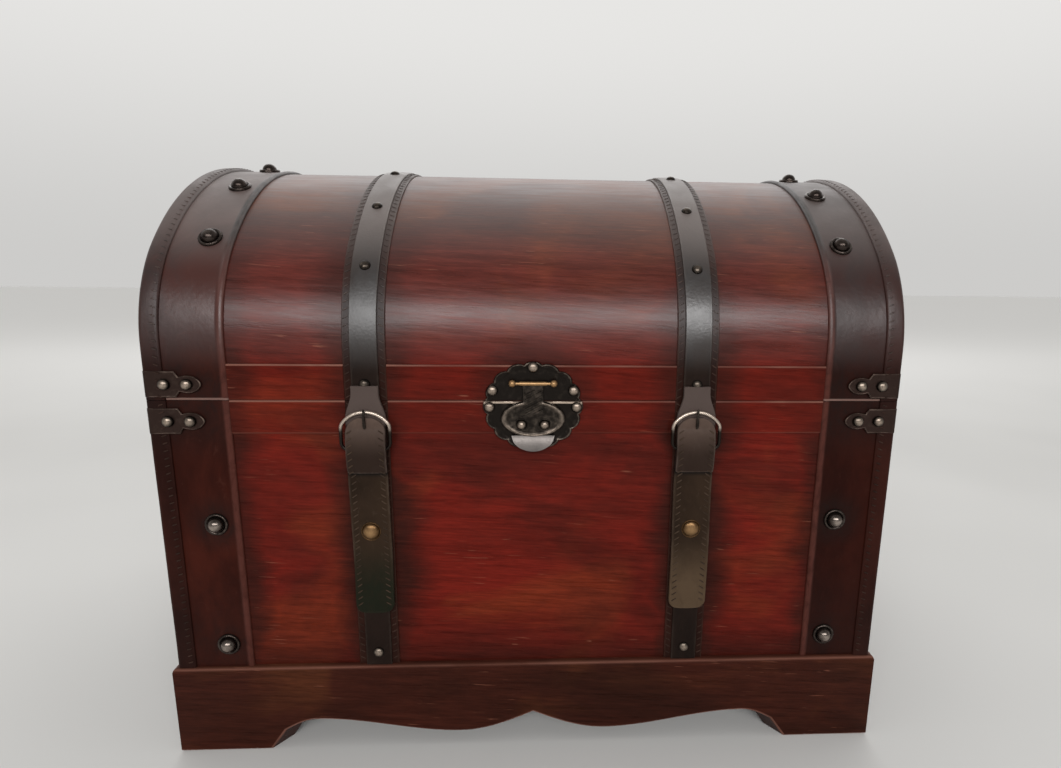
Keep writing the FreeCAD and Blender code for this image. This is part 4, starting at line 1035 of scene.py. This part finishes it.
def strap_end(word, side):
    """Strap end that hangs from the lid: it leaves the narrow strap under its nail and bends at the seam."""
    middle = side * STRAP_X
    heights = spread(FLAP_HIGH.z + FLAP_ROOT, FLAP_LOW.z + FLAP_TIP, FLAP_ROWS)
    turns = spread(0.0, math.pi / 2, TIP_ROWS)[1:]
    heights += [FLAP_LOW.z + FLAP_TIP * (1 - math.sin(turn)) for turn in turns]
    rows = []
    for height in heights:
        half = flap_half(height)
        root = smooth(height, FLAP_HIGH.z - 2 * FLAP_ROOT, FLAP_HIGH.z + FLAP_ROOT)
        back = FLAP_BACK + (STRAP_FACE + GLUE - FLAP_BACK) * root
        face = back + (FLAP_FACE - FLAP_BACK)
        sway = wander(Vector((middle, 0, height)), SWAY_WAVES, SWAY)
        tip = CUT_WEAR * smooth(height, FLAP_LOW.z + FLAP_CUT, FLAP_LOW.z)
        row = []
        section = strip_section(-half, half, back, face, crowned(0.0, half, FLAP_CROWN), FLAP_COLUMNS)
        for across, out, worn in section:
            spot = on_front(middle + sway + across, height, out)
            spot.y -= wander(spot, FLAP_WAVES, UNEVEN)
            row.append((spot, max(worn, tip)))
        rows.append(row)
    turn = Vector((middle, FRONT - FLAP_FACE, FLAP_HIGH.z))
    bend = ("lid", f"strap_{word}", turn + BEND_REACH, turn - BEND_REACH)
    Form(rows).piece(f"strap_end_{word}", FLAP_LEATHER, bend, "flap_leather", f"strap_flap_{word}")
    path = upright_path(TAB_LOW.z - EDGE, FLAP_LOW.z + FLAP_TIP)
    flap_seam(f"strap_end_stitches_{word}", word, path, middle, FLAP_HALF, FLAP_FACE + EDGE / 2)


BUCKLE_ROD = 0.0014
BUCKLE_HALF = (BUCKLE_HIGH.x - BUCKLE_LOW.x) / 2 - BUCKLE_ROD
BUCKLE_FOOT = BUCKLE_LOW.z + BUCKLE_ROD
BUCKLE_TOP = BUCKLE_HIGH.z - BUCKLE_ROD
BUCKLE_RISE = 0.013
BUCKLE_SHOULDER = 0.007
BUCKLE_CORNER = 0.006
BUCKLE_ARCH = Arch(
    BUCKLE_HALF, BUCKLE_FOOT + BUCKLE_CORNER, BUCKLE_TOP - BUCKLE_RISE, BUCKLE_TOP, BUCKLE_SHOULDER
)
BUCKLE_SIDES = 12
BUCKLE_SHINE = 0.85
BUCKLE_SHADED_BELOW, BUCKLE_RUBBED_ABOVE = TAB_HIGH.z - 0.006, TAB_HIGH.z + 0.004


def buckle(word, side):
    """Round-rod buckle frame with an arched top, rubbed bright there, and painted dull down its sides and
    foot as painted shade.
    """
    depth = (BUCKLE_LOW.y + BUCKLE_HIGH.y) / 2
    line = [BUCKLE_ARCH.at(along)[0] for along in spread(0.0, BUCKLE_ARCH.length, 48)]
    inner = BUCKLE_HALF - BUCKLE_CORNER
    corner = [
        (inner + BUCKLE_CORNER * math.cos(turn), BUCKLE_ARCH.foot - BUCKLE_CORNER * math.sin(turn))
        for turn in spread(0.2, math.pi / 2, 6)
    ]
    line += corner + [(-across, up) for across, up in reversed(corner)]
    points = [Vector((side * STRAP_X + across, depth, up)) for across, up in line]
    rows = []
    for index, point in enumerate(points):
        forward = (points[(index + 1) % len(points)] - points[index - 1]).normalized()
        # rubbed bright at the arch, painted shade lower down the sides
        worn = BUCKLE_SHINE * smooth(point.z, BUCKLE_SHADED_BELOW, BUCKLE_RUBBED_ABOVE)
        rows.append(ring(point, forward.cross(FACING), FACING, BUCKLE_ROD, BUCKLE_SIDES, worn))
    form = Form(rows, loop=True)
    form.piece(f"buckle_frame_{word}", BUCKLE_METAL, f"strap_{word}", "buckle_metal", f"buckle_{word}")


TAB_HALF = (TAB_HIGH.x - TAB_LOW.x) / 2
TAB_FACE = FRONT - TAB_LOW.y
TAB_SKIN = FLAP_FACE + 0.0026
TAB_TOP = BUCKLE_TOP - 0.0045
TAB_CLEAR = 0.0022
TAB_ROWS, TAB_COLUMNS = 44, 18
TAB_ARCH = 0.86
TAB_ARCH_POWER = 2.2
TAB_FULLNESS = 0.8
TAB_WEAR = 0.8
TAB_CROWN = 0.0007
TAB_SPRING = BUCKLE_ARCH.spring - 0.004
TAB_WAIST = 0.0012
TAB_BULGE = 0.0014
TAB_WAVES = 90
TAB_UNEVEN = 0.0003
TAB_CUT = 0.002


def tab_half(height):
    """Half the width of the tab: a little waisted, and arched inside the buckle."""
    share = (height - TAB_LOW.z) / (TAB_HIGH.z - TAB_LOW.z)
    half = TAB_HALF - TAB_WAIST + TAB_BULGE * math.sin(math.pi * min(share, 1.0))
    risen = max(height - TAB_SPRING, 0.0) / (TAB_TOP - TAB_SPRING)
    inner = BUCKLE_HALF - BUCKLE_ROD - TAB_CLEAR
    return min(half, inner * math.sqrt(1 - TAB_ARCH * risen ** TAB_ARCH_POWER))


def tab_face(height):
    """Face of the tab: swollen over the buckle's bar, thin at its cut end and its arched top."""
    share = (height - TAB_LOW.z) / (TAB_HIGH.z - TAB_LOW.z)
    swell = math.sin(math.pi * min(max(share, 0.0), 1.0)) ** TAB_FULLNESS
    return TAB_SKIN + swell * (TAB_FACE - TAB_SKIN - TAB_CROWN)


def strap_tab(word, side):
    """Leather tab that holds the buckle, swollen over its lower bar."""
    middle = side * STRAP_X
    back = FLAP_FACE + GLUE
    rows = []
    path = []
    for height in spread(TAB_TOP, TAB_LOW.z, TAB_ROWS):
        half = tab_half(height)
        face = tab_face(height)
        from_end = min(height - TAB_LOW.z, TAB_TOP - height)
        cut = TAB_WEAR * smooth(from_end, TAB_CUT, 0.0)
        row = []
        section = strip_section(-half, half, back, face, crowned(0.0, half, TAB_CROWN), TAB_COLUMNS)
        for across, out, worn in section:
            spot = on_front(middle + across, height, out)
            if out > back + GLUE:
                spot.y -= wander(spot, TAB_WAVES, TAB_UNEVEN)
            row.append((spot, max(worn, cut)))
        rows.append(row)
        if height < TAB_HIGH.z:
            path.append((on_front(0, height, face), FACING, TAB_HIGH.z - height))
    Form(rows).piece(f"buckle_tab_{word}", TAB_LEATHER, f"strap_{word}", "flap_leather", f"strap_tab_{word}")
    flap_seam(f"buckle_tab_stitches_{word}", word, path, middle, TAB_HALF, EDGE)


PRONG_TAPER = 0.72
PRONG_PINCH = 0.6
PRONG_DIP = 0.9
PRONG_RINGS, PRONG_SIDES = 10, 10
PRONG_WEAR = 0.12


def prong(word):
    """Buckle prong, tapered and bent over the frame."""
    low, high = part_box(f"buckle_prong_{word}")
    middle = (low + high) / 2
    radius = (high.x - low.x) / 2
    rows = []
    for share in spread(0.0, 1.0, PRONG_RINGS):
        pinch = PRONG_PINCH if share in (0.0, 1.0) else 1.0
        wide = radius * (1 - (1 - PRONG_TAPER) * share) * pinch
        dip = radius * PRONG_DIP * (1 - share) ** 2
        centre = Vector((middle.x, middle.y + dip, low.z + (high.z - low.z) * share))
        rows.append(ring(centre, ACROSS, -FACING, wide, PRONG_SIDES, PRONG_WEAR))
    Form(rows).piece(f"prong_{word}", BUCKLE_METAL, f"strap_{word}", "buckle_metal", f"buckle_prong_{word}")


# Domed heads, each seated where the frame has it

HEAD_SKIRT = 0.0008
RIM_SHAPE = ((0.0, 0.6, 0.08), (0.2, 0.95, 0.14), (0.5, 1.0, 0.14), (0.8, 0.8, 0.12), (1.0, 0.55, 0.1))


def seat_of(points):
    """Where a head sits and the way it faces, from the points of its solid."""
    middle = sum(extent(points), Vector()) / 2
    centre = sum(points, Vector()) / len(points)
    if middle.z < LID.spring:
        normal = Vector((0, math.copysign(1, middle.y), 0))
    elif abs(middle.y) < LID.crown * math.cos(LID.turn):
        normal = Vector((0, middle.y, middle.z - LID.crown_up)).normalized()
    else:
        shoulder = math.copysign(LID.reach, middle.y)
        normal = Vector((0, middle.y - shoulder, middle.z - LID.spring)).normalized()
    depth = min(point.dot(normal) for point in points)
    return centre + normal * (depth - centre.dot(normal)), normal


def dome_profile(radius, rise, rim=0.0, ledge=0.0, shine=0.7):
    """A head's outline from its foot to its top; a rim gives it a ring round the dome."""
    profile = [(radius, -HEAD_SKIRT, 0.0), (radius, 0.0, 0.1)]
    if rim:
        profile += [(radius - ledge * inset, rim * up, worn) for inset, up, worn in RIM_SHAPE]
    inner = radius - ledge
    base = rim * RIM_SHAPE[-1][1]
    for turn in spread(math.pi / 20, math.pi / 2, 9):
        wide = max(inner * math.cos(turn), radius * 0.03)
        profile.append((wide, base + (rise - base) * math.sin(turn), shine * math.sin(turn) ** 1.5))
    return profile


def heads(name, node, paint, body, slot, profile, on_strap=None):
    """All heads of a node; those on the straps can have an outline of their own."""
    form = Form()
    for points in islands(node):
        seat, normal = seat_of(points)
        strapped = abs(abs(seat.x) - STRAP_X) < STRAP_HALF
        form.grid(lathe(seat, normal, on_strap if on_strap and strapped else profile))
    form.piece(name, paint, body, slot, node, sharp=60)


STUD_PROFILE = dome_profile(0.0093, 0.0076, 0.0022, 0.0027, 0.5)
LID_STUD_PROFILE = dome_profile(0.0093, 0.0076, 0.0022, 0.0027, 0.16)
NAIL_PROFILE = dome_profile(0.0045, 0.0031, shine=0.62)
STRAP_NAIL_PROFILE = dome_profile(0.0045, 0.0031, shine=0.3)
EYE_PROFILE = dome_profile(0.005, 0.0042, 0.0008, 0.0009, 0.6)
SNAP_PROFILE = dome_profile(0.008, 0.0036, 0.0010, 0.0010, 0.6)
SCREW_PROFILE = dome_profile(0.0035, 0.0016)
heads("body_studs", "body_band_studs", STUD_BRONZE, "box", "bronze", STUD_PROFILE)
heads("lid_studs", "lid_band_studs", STUD_BRONZE, "lid", "bronze", LID_STUD_PROFILE)
heads("body_dome_nails", "body_nails", BRONZE, "box", "bronze", NAIL_PROFILE)
heads("lid_dome_nails", "lid_nails", BRONZE, "lid", "bronze", NAIL_PROFILE, STRAP_NAIL_PROFILE)
heads("hasp_domes", "hasp_rivets", BRONZE, "hasp", "bronze", EYE_PROFILE)
heads("hinge_screw_heads_body", "hinge_screws_body", STEEL, "box", "hinge_metal", SCREW_PROFILE)
heads("hinge_screw_heads_lid", "hinge_screws_lid", STEEL, "lid", "hinge_metal", SCREW_PROFILE)
for word, side in SIDES:
    strap_end(word, side)
    strap_tab(word, side)
    buckle(word, side)
    prong(word)
    heads(f"snap_head_{word}", f"snap_cap_{word}", BRASS, f"strap_{word}", "brass", SNAP_PROFILE)
for node in ("hinge_leaves_body", "hinge_leaves_lid", "hinge_pins"):
    coat_node(node, STEEL, 0.0003)
coat_node("snap_studs", BRASS, 0.0002)

# Corner brackets

BRACKET_LENGTH = 0.044
BRACKET_THICKNESS = 0.0009
BRACKET_WAIST = BRACKET_LENGTH * 0.55
BRACKET_NOTCH = BRACKET_LENGTH * 0.62
BRACKET_DIP = 0.22
BRACKET_SINK = 0.0006
BRACKET_BORDER = (0.0007, 0.0016)
FOLD_RADIUS = 0.003


def fold(along):
    """A point near the fold on its rounded corner: distance from the corner and set-back."""
    if along >= FOLD_RADIUS:
        return along, 0.0
    turn = (1 - along / FOLD_RADIUS) * math.pi / 4
    return FOLD_RADIUS * (1 - math.sin(turn)), FOLD_RADIUS * (1 - math.cos(turn))


def bracket_outline(height):
    """One leg from the corner: square, notched before a round end."""
    dip = height * BRACKET_DIP
    middle = height / 2
    line = [(step, 0.0) for step in spread(0.0, BRACKET_WAIST, 14)]
    for share in spread(0.25, 1.0, 4):
        line.append((BRACKET_WAIST + (BRACKET_NOTCH - BRACKET_WAIST) * share, dip * share))
    for turn in spread(0.15, math.pi / 2, 10):
        along = BRACKET_NOTCH + (BRACKET_LENGTH - BRACKET_NOTCH) * math.sin(turn)
        bulge = math.cos(turn) * (1 + 0.42 * math.sin(2 * turn))
        line.append((along, middle - (middle - dip) * bulge))
    mirror = [(along, height - up) for along, up in reversed(line)]
    return line + mirror[1:] + [(0.0, height * share) for share in (0.75, 0.5, 0.25)]


def bracket_face(along, up, inside):
    """Face of a bracket: a thin bright line along its cut edges, plain at the fold."""
    open_edge = smooth(along, EDGE, FOLD_RADIUS)
    border = (1 - smooth(inside, *BRACKET_BORDER)) * open_edge
    ease = (1 - smooth(inside, 0.0, EDGE)) * open_edge
    return BRACKET_THICKNESS * (0.8 + 0.2 * border - 0.5 * ease), 0.05 + 0.2 * border


def bracket_leg(corner, side, turned):
    """Where the points of a leg lie; the turned one goes round the corner."""
    def lay(along, up, out):
        reach, back = fold(along)
        depth = BRACKET_THICKNESS - out + back
        aside, inward = (depth, reach) if turned else (reach, depth)
        return corner + Vector((-side * aside, inward, up))

    return lay


def brackets(name, node, body):
    form = Form()
    for points in islands(node):
        low, high = extent(points)
        side = 1 if high.x > 0 else -1
        end = max(abs(low.x), abs(high.x)) - BRACKET_SINK
        corner = Vector((side * end, low.y + BRACKET_SINK, low.z))
        height = high.z - low.z
        centre = (BRACKET_LENGTH / 2, height / 2)
        for turned in (False, True):
            leg = bracket_leg(corner, side, turned)
            form.grid(relief(bracket_outline(height), centre, 0.0, leg, bracket_face))
    form.piece(name, BRACKET_BRONZE, body, "bronze", node)


brackets("body_corner_plates", "corner_brackets_body", "box")
brackets("lid_corner_plates", "corner_brackets_lid", "lid")

# Lock plate and pin

LOCK_FACE = FRONT - LOCK_LOW.y
LOCK_BACK = FRONT - LOCK_HIGH.y
LOCK_LOBES = 16
LOBE_STEPS = 10
LOBE_RISE = 0.0026
LOCK_VALLEY = LOCK_HIGH.x - LOBE_RISE
LOCK_DISH = 0.0006
LOCK_HEART = 0.014
LOCK_BEAD = (LOCK_VALLEY - 0.003, LOCK_VALLEY - 0.0015)
LOCK_CREST = 0.0003
CREST_RISES, CREST_FALLS = (0.0002, 0.0008), (0.001, 0.0022)
LOCK_EASE = 0.0007
BAR_WIDTH = 0.0024
BAR_RISE = 0.0008
PIN_MIDDLE = (PIN_LOW + PIN_HIGH) / 2
PIN_HALF = (PIN_HIGH.x - PIN_LOW.x) / 2
PIN_RADIUS = 0.0013
PIN_SHINE = 0.7
BALL_RADIUS = (PIN_HIGH.z - PIN_LOW.z) / 2
LUG_RADIUS = 0.0015
LUG_PLACE = 0.0128
LUG_SIDES = 14


def lobed_half(cut, upward):
    """Half of the scalloped oval above or below a cut, with the cut edge as its last stretch."""
    count = LOCK_LOBES * LOBE_STEPS
    arc = []
    for step in range(count + 1):
        turn = 2 * math.pi * step / count - math.pi / 2 * upward
        radius = LOCK_VALLEY + LOBE_RISE * abs(math.cos(LOCK_LOBES * turn / 2)) ** 0.7
        spot = (radius * math.cos(turn), LOCK_CENTRE + radius * math.sin(turn) * LOCK_TALL)
        if (spot[1] - cut) * upward > 0:
            arc.append(spot)
    return arc + [(across, cut) for across in spread(arc[-1][0], arc[0][0], 40)]


def lugs(form):
    """Two small posts that stand on the plate and hold the pin from behind."""
    reach = FRONT - LOCK_FACE - PIN_MIDDLE.y
    profile = [(LUG_RADIUS * 1.3, -HEAD_SKIRT, 0.0), (LUG_RADIUS, 0.3 * reach, 0.1), (LUG_RADIUS, reach, 0.1)]
    for side in (-1, 1):
        form.grid(lathe(on_front(side * LUG_PLACE, PIN_MIDDLE.z, LOCK_FACE), FACING, profile, LUG_SIDES))


def lock_plate(name, upward, body, node):
    """Half of the lock plate, dished inside a beaded rim; the lower half has a bright bar at the seam."""
    cut = LID_FOOT if upward > 0 else SEAM

    def face(across, up, inside):
        bar = smooth(up, cut - BAR_WIDTH, cut - 0.7 * BAR_WIDTH) if upward < 0 else 0.0
        radius = math.hypot(across, (up - LOCK_CENTRE) / LOCK_TALL)
        bead = smooth(radius, *LOCK_BEAD)
        crest = smooth(inside, *CREST_RISES) * (1 - smooth(inside, *CREST_FALLS)) * bead
        out = LOCK_FACE - LOCK_DISH + LOCK_DISH * bead + LOCK_CREST * crest + BAR_RISE * bar
        out -= LOCK_EASE * (1 - smooth(inside, 0.0, EDGE))
        return out, max(0.04 + 0.24 * crest, 0.9 * bar)

    centre = (0.0, cut + LOCK_HEART * upward)
    form = Form(relief(lobed_half(cut, upward), centre, LOCK_BACK, on_front, face))
    if upward > 0:
        lugs(form)
    form.piece(name, BRONZE, body, "bronze", node)


lock_plate("lock_lower_half", -1, "box", "lock_plate_lower")
lock_plate("lock_upper_half", 1, "lid", "lock_plate_upper")


def rod(name, half, profile, sides, body, *nodes):
    """A brass form turned about the pin's axis."""
    form = Form(lathe(PIN_MIDDLE - ACROSS * half, ACROSS, profile, sides))
    form.piece(name, BRASS, body, "brass", *nodes)


def hasp_pin():
    """Brass pin with a turned ball at each end."""
    profile = []
    for turn in spread(-math.pi / 2, math.pi / 2 - math.asin(PIN_RADIUS / BALL_RADIUS), 9):
        wide = max(BALL_RADIUS * math.cos(turn), EDGE / 2)
        profile.append((wide, BALL_RADIUS * (1 + math.sin(turn)), PIN_SHINE))
    far = [(radius, 2 * PIN_HALF - height, worn) for radius, height, worn in reversed(profile)]
    rod("brass_pin", PIN_HALF, profile + far, 16, "lid", "hasp_pin")


hasp_pin()

# Hasp

HASP_BACK = LOCK_FACE + 0.00045
HASP_FACE = HASP_BACK + 0.0022
HASP_HALF = HASP_HIGH.x
HASP_TOP = PIN_MIDDLE.z
HASP_CENTRE = HASP_TOP - 0.029
HASP_OVAL = 0.0150
HASP_RIM = 0.0009
HASP_DISH = 0.0003
HASP_EASE = 0.0008
NECK_HALF = 0.0082
KNUCKLE_HALF = 0.0108
KNUCKLE_RADIUS = 0.0017
RIM_SHARES = (0.8, 0.87, 0.93, 0.99)
LEAF_LENGTH = 0.0095
LEAF_PITCH = 0.0038
LEAF_SLANT = -0.5
LEAF_RADIUS = 0.0007
LEAF_WEAR = 0.2
LEAF_PLACES = (-0.0028, 0.0042)
LEAF_TOP, LEAF_LOW = HASP_TOP - 0.006, HASP_CENTRE + 0.003
LIP_HALF = 0.0172
LIP_TOP = HASP_CENTRE - HASP_OVAL * 0.9
LIP_DROP = LIP_TOP - HASP_LOW.z + 0.001
LIP_CURL = 0.0062
LIP_SKIN = 0.0012
LIP_WEAR = 0.75


def hasp_outline():
    """Neck above and oval below, as (x, z), round from the top of the neck."""
    start = math.acos(NECK_HALF / HASP_HALF)
    neck_foot = HASP_CENTRE + HASP_OVAL * math.sin(start)
    half = [(across, HASP_TOP) for across in spread(0.0, NECK_HALF, 6)]
    half += [(NECK_HALF, height) for height in spread(HASP_TOP, neck_foot, 10)[1:-1]]
    half += [
        (HASP_HALF * math.cos(turn), HASP_CENTRE + HASP_OVAL * math.sin(turn))
        for turn in spread(start, -math.pi / 2, 44)
    ]
    return half + [(-across, height) for across, height in reversed(half[1:-1])]


def hasp_face(across, up, inside):
    """Raised rim round the oval, a shallow dish inside it and a plain neck."""
    share = math.hypot(across / HASP_HALF, (up - HASP_CENTRE) / HASP_OVAL)
    neck = smooth(up, HASP_CENTRE + 0.75 * HASP_OVAL, HASP_CENTRE + 0.95 * HASP_OVAL)
    neck *= 1 - smooth(abs(across), NECK_HALF, 1.2 * NECK_HALF)
    low, rise, fall, high = RIM_SHARES
    rim = smooth(share, low, rise) * (1 - smooth(share, fall, high)) * (1 - neck)
    dish = (1 - smooth(share, 0.3, low)) * (1 - neck)
    out = HASP_FACE + HASP_RIM * rim - HASP_DISH * dish - HASP_EASE * (1 - smooth(inside, 0.0, EDGE))
    return out, 0.16 + 0.2 * rim


def hasp_plate():
    """Hasp plate with leaf strokes embossed on its neck."""
    form = Form(relief(hasp_outline(), (0.0, HASP_CENTRE), HASP_BACK, on_front, hasp_face))
    neck = upright_path(LEAF_TOP, LEAF_LOW)
    for across in LEAF_PLACES:
        stitches(form, neck, across, HASP_FACE, LEAF_LENGTH, LEAF_PITCH, LEAF_SLANT,
                 radius=LEAF_RADIUS, worn=LEAF_WEAR)
    form.piece("hasp_plate", BRONZE, "hasp", "bronze", "hasp")


def hasp_lip():
    """Half-moon lip curled forward under the oval."""
    rows = []
    for across in spread(-LIP_HALF, LIP_HALF, 28):
        bow = math.sqrt(max(1 - (across / LIP_HALF) ** 2, 0.0))
        drop = LIP_DROP * bow + EDGE
        front = []
        back = []
        for share in spread(0.0, 1.0, 10):
            curl = HASP_FACE + EDGE + LIP_CURL * (share * bow) ** 1.6
            front.append((on_front(across, LIP_TOP - drop * share, curl), LIP_WEAR))
            back.append((on_front(across, LIP_TOP - drop * share, curl - LIP_SKIN), LIP_WEAR))
        rows.append(front + back[::-1])
    Form(rows).piece("hasp_lip", SILVER, "hasp", "bronze")


def hasp_knuckle():
    """The hasp's rolled eye round the pin."""
    profile = [(KNUCKLE_RADIUS, height, PIN_SHINE) for height in spread(0.0, 2 * KNUCKLE_HALF, 6)]
    rod("hasp_knuckle", KNUCKLE_HALF, profile, 18, "hasp")


hasp_plate()
hasp_lip()
hasp_knuckle()

# Camera: fitted to the chest's straight edges, in pixels of a 1061 x 768 picture

PICTURE_WIDTH, PICTURE_HEIGHT = 1061, 768
FOCAL_PIXELS = 658.64
AXIS_PIXEL = (573.46, 397.80)
CAMERA_SPOT = Vector((0.00445, -0.7179, 0.4227))
CAMERA_YAW = math.radians(3.091)
CAMERA_PITCH = math.radians(11.880)
CAMERA_ROLL = math.radians(0.739)


def add_camera():
    data = bpy.data.cameras.new("camera")
    data.sensor_fit = "HORIZONTAL"
    data.lens = FOCAL_PIXELS / PICTURE_WIDTH * data.sensor_width
    data.shift_x = (PICTURE_WIDTH / 2 - AXIS_PIXEL[0]) / PICTURE_WIDTH
    data.shift_y = (AXIS_PIXEL[1] - PICTURE_HEIGHT / 2) / PICTURE_WIDTH
    data.clip_start = 0.01
    camera = link("camera", data)
    aim = Matrix.Rotation(-CAMERA_YAW, 4, "Z") @ Matrix.Rotation(math.pi / 2 - CAMERA_PITCH, 4, "X")
    camera.matrix_world = Matrix.Translation(CAMERA_SPOT) @ aim @ Matrix.Rotation(CAMERA_ROLL, 4, "Z")
    bpy.context.scene.camera = camera


add_camera()

# Floor, light and sky

FLOOR_HALF = 8.0
CHEST_MIDDLE = Vector((0, 0, 0.3))
WINDOW_SPOT = Vector((0.0, -2.6, 1.45))
WINDOW_SIZE = (3.2, 0.7)
WINDOW_POWER = 56.0
BACK_SPOT = Vector((0.0, 1.9, 2.1))
BACK_SIZE = (3.4, 1.6)
BACK_POWER = 22.0
SKY_DEPTH = (-0.75, 0.35, 0.2, 0.8)
SKY_RISE = (-0.02, 0.34, 0.76, 1.0)
SKY_TONE = (1.0, 0.99, 0.97)


def area_light(name, spot, size, power):
    data = bpy.data.lights.new(name, "AREA")
    data.shape = "RECTANGLE"
    data.size, data.size_y = size
    data.energy = power
    lamp = link(name, data)
    lamp.location = spot
    lamp.rotation_euler = (CHEST_MIDDLE - spot).to_track_quat("-Z", "Y").to_euler()


def sky():
    """Pale studio surround: dim behind the camera, bright behind the chest, darker at the horizon."""
    world = bpy.data.worlds.new("studio")
    paint = Paint(world, "Background", "Generated")
    paint.feed(paint.shader.inputs["Strength"], paint.y.step(*SKY_DEPTH) * paint.z.step(*SKY_RISE))
    paint.feed(paint.shader.inputs["Color"], SKY_TONE)
    bpy.context.scene.world = world


def stage():
    mesh = bpy.data.meshes.new("floor")
    corners = [(x * FLOOR_HALF, y * FLOOR_HALF, 0) for x, y in ((-1, -1), (1, -1), (1, 1), (-1, 1))]
    mesh.from_pydata(corners, [], [(0, 1, 2, 3)])
    mesh.materials.append(pale_floor())
    floor = link("floor", mesh)
    area_light("window", WINDOW_SPOT, WINDOW_SIZE, WINDOW_POWER)
    area_light("back_window", BACK_SPOT, BACK_SIZE, BACK_POWER)
    sky()
    bpy.context.scene.view_settings.view_transform = "Standard"


stage()
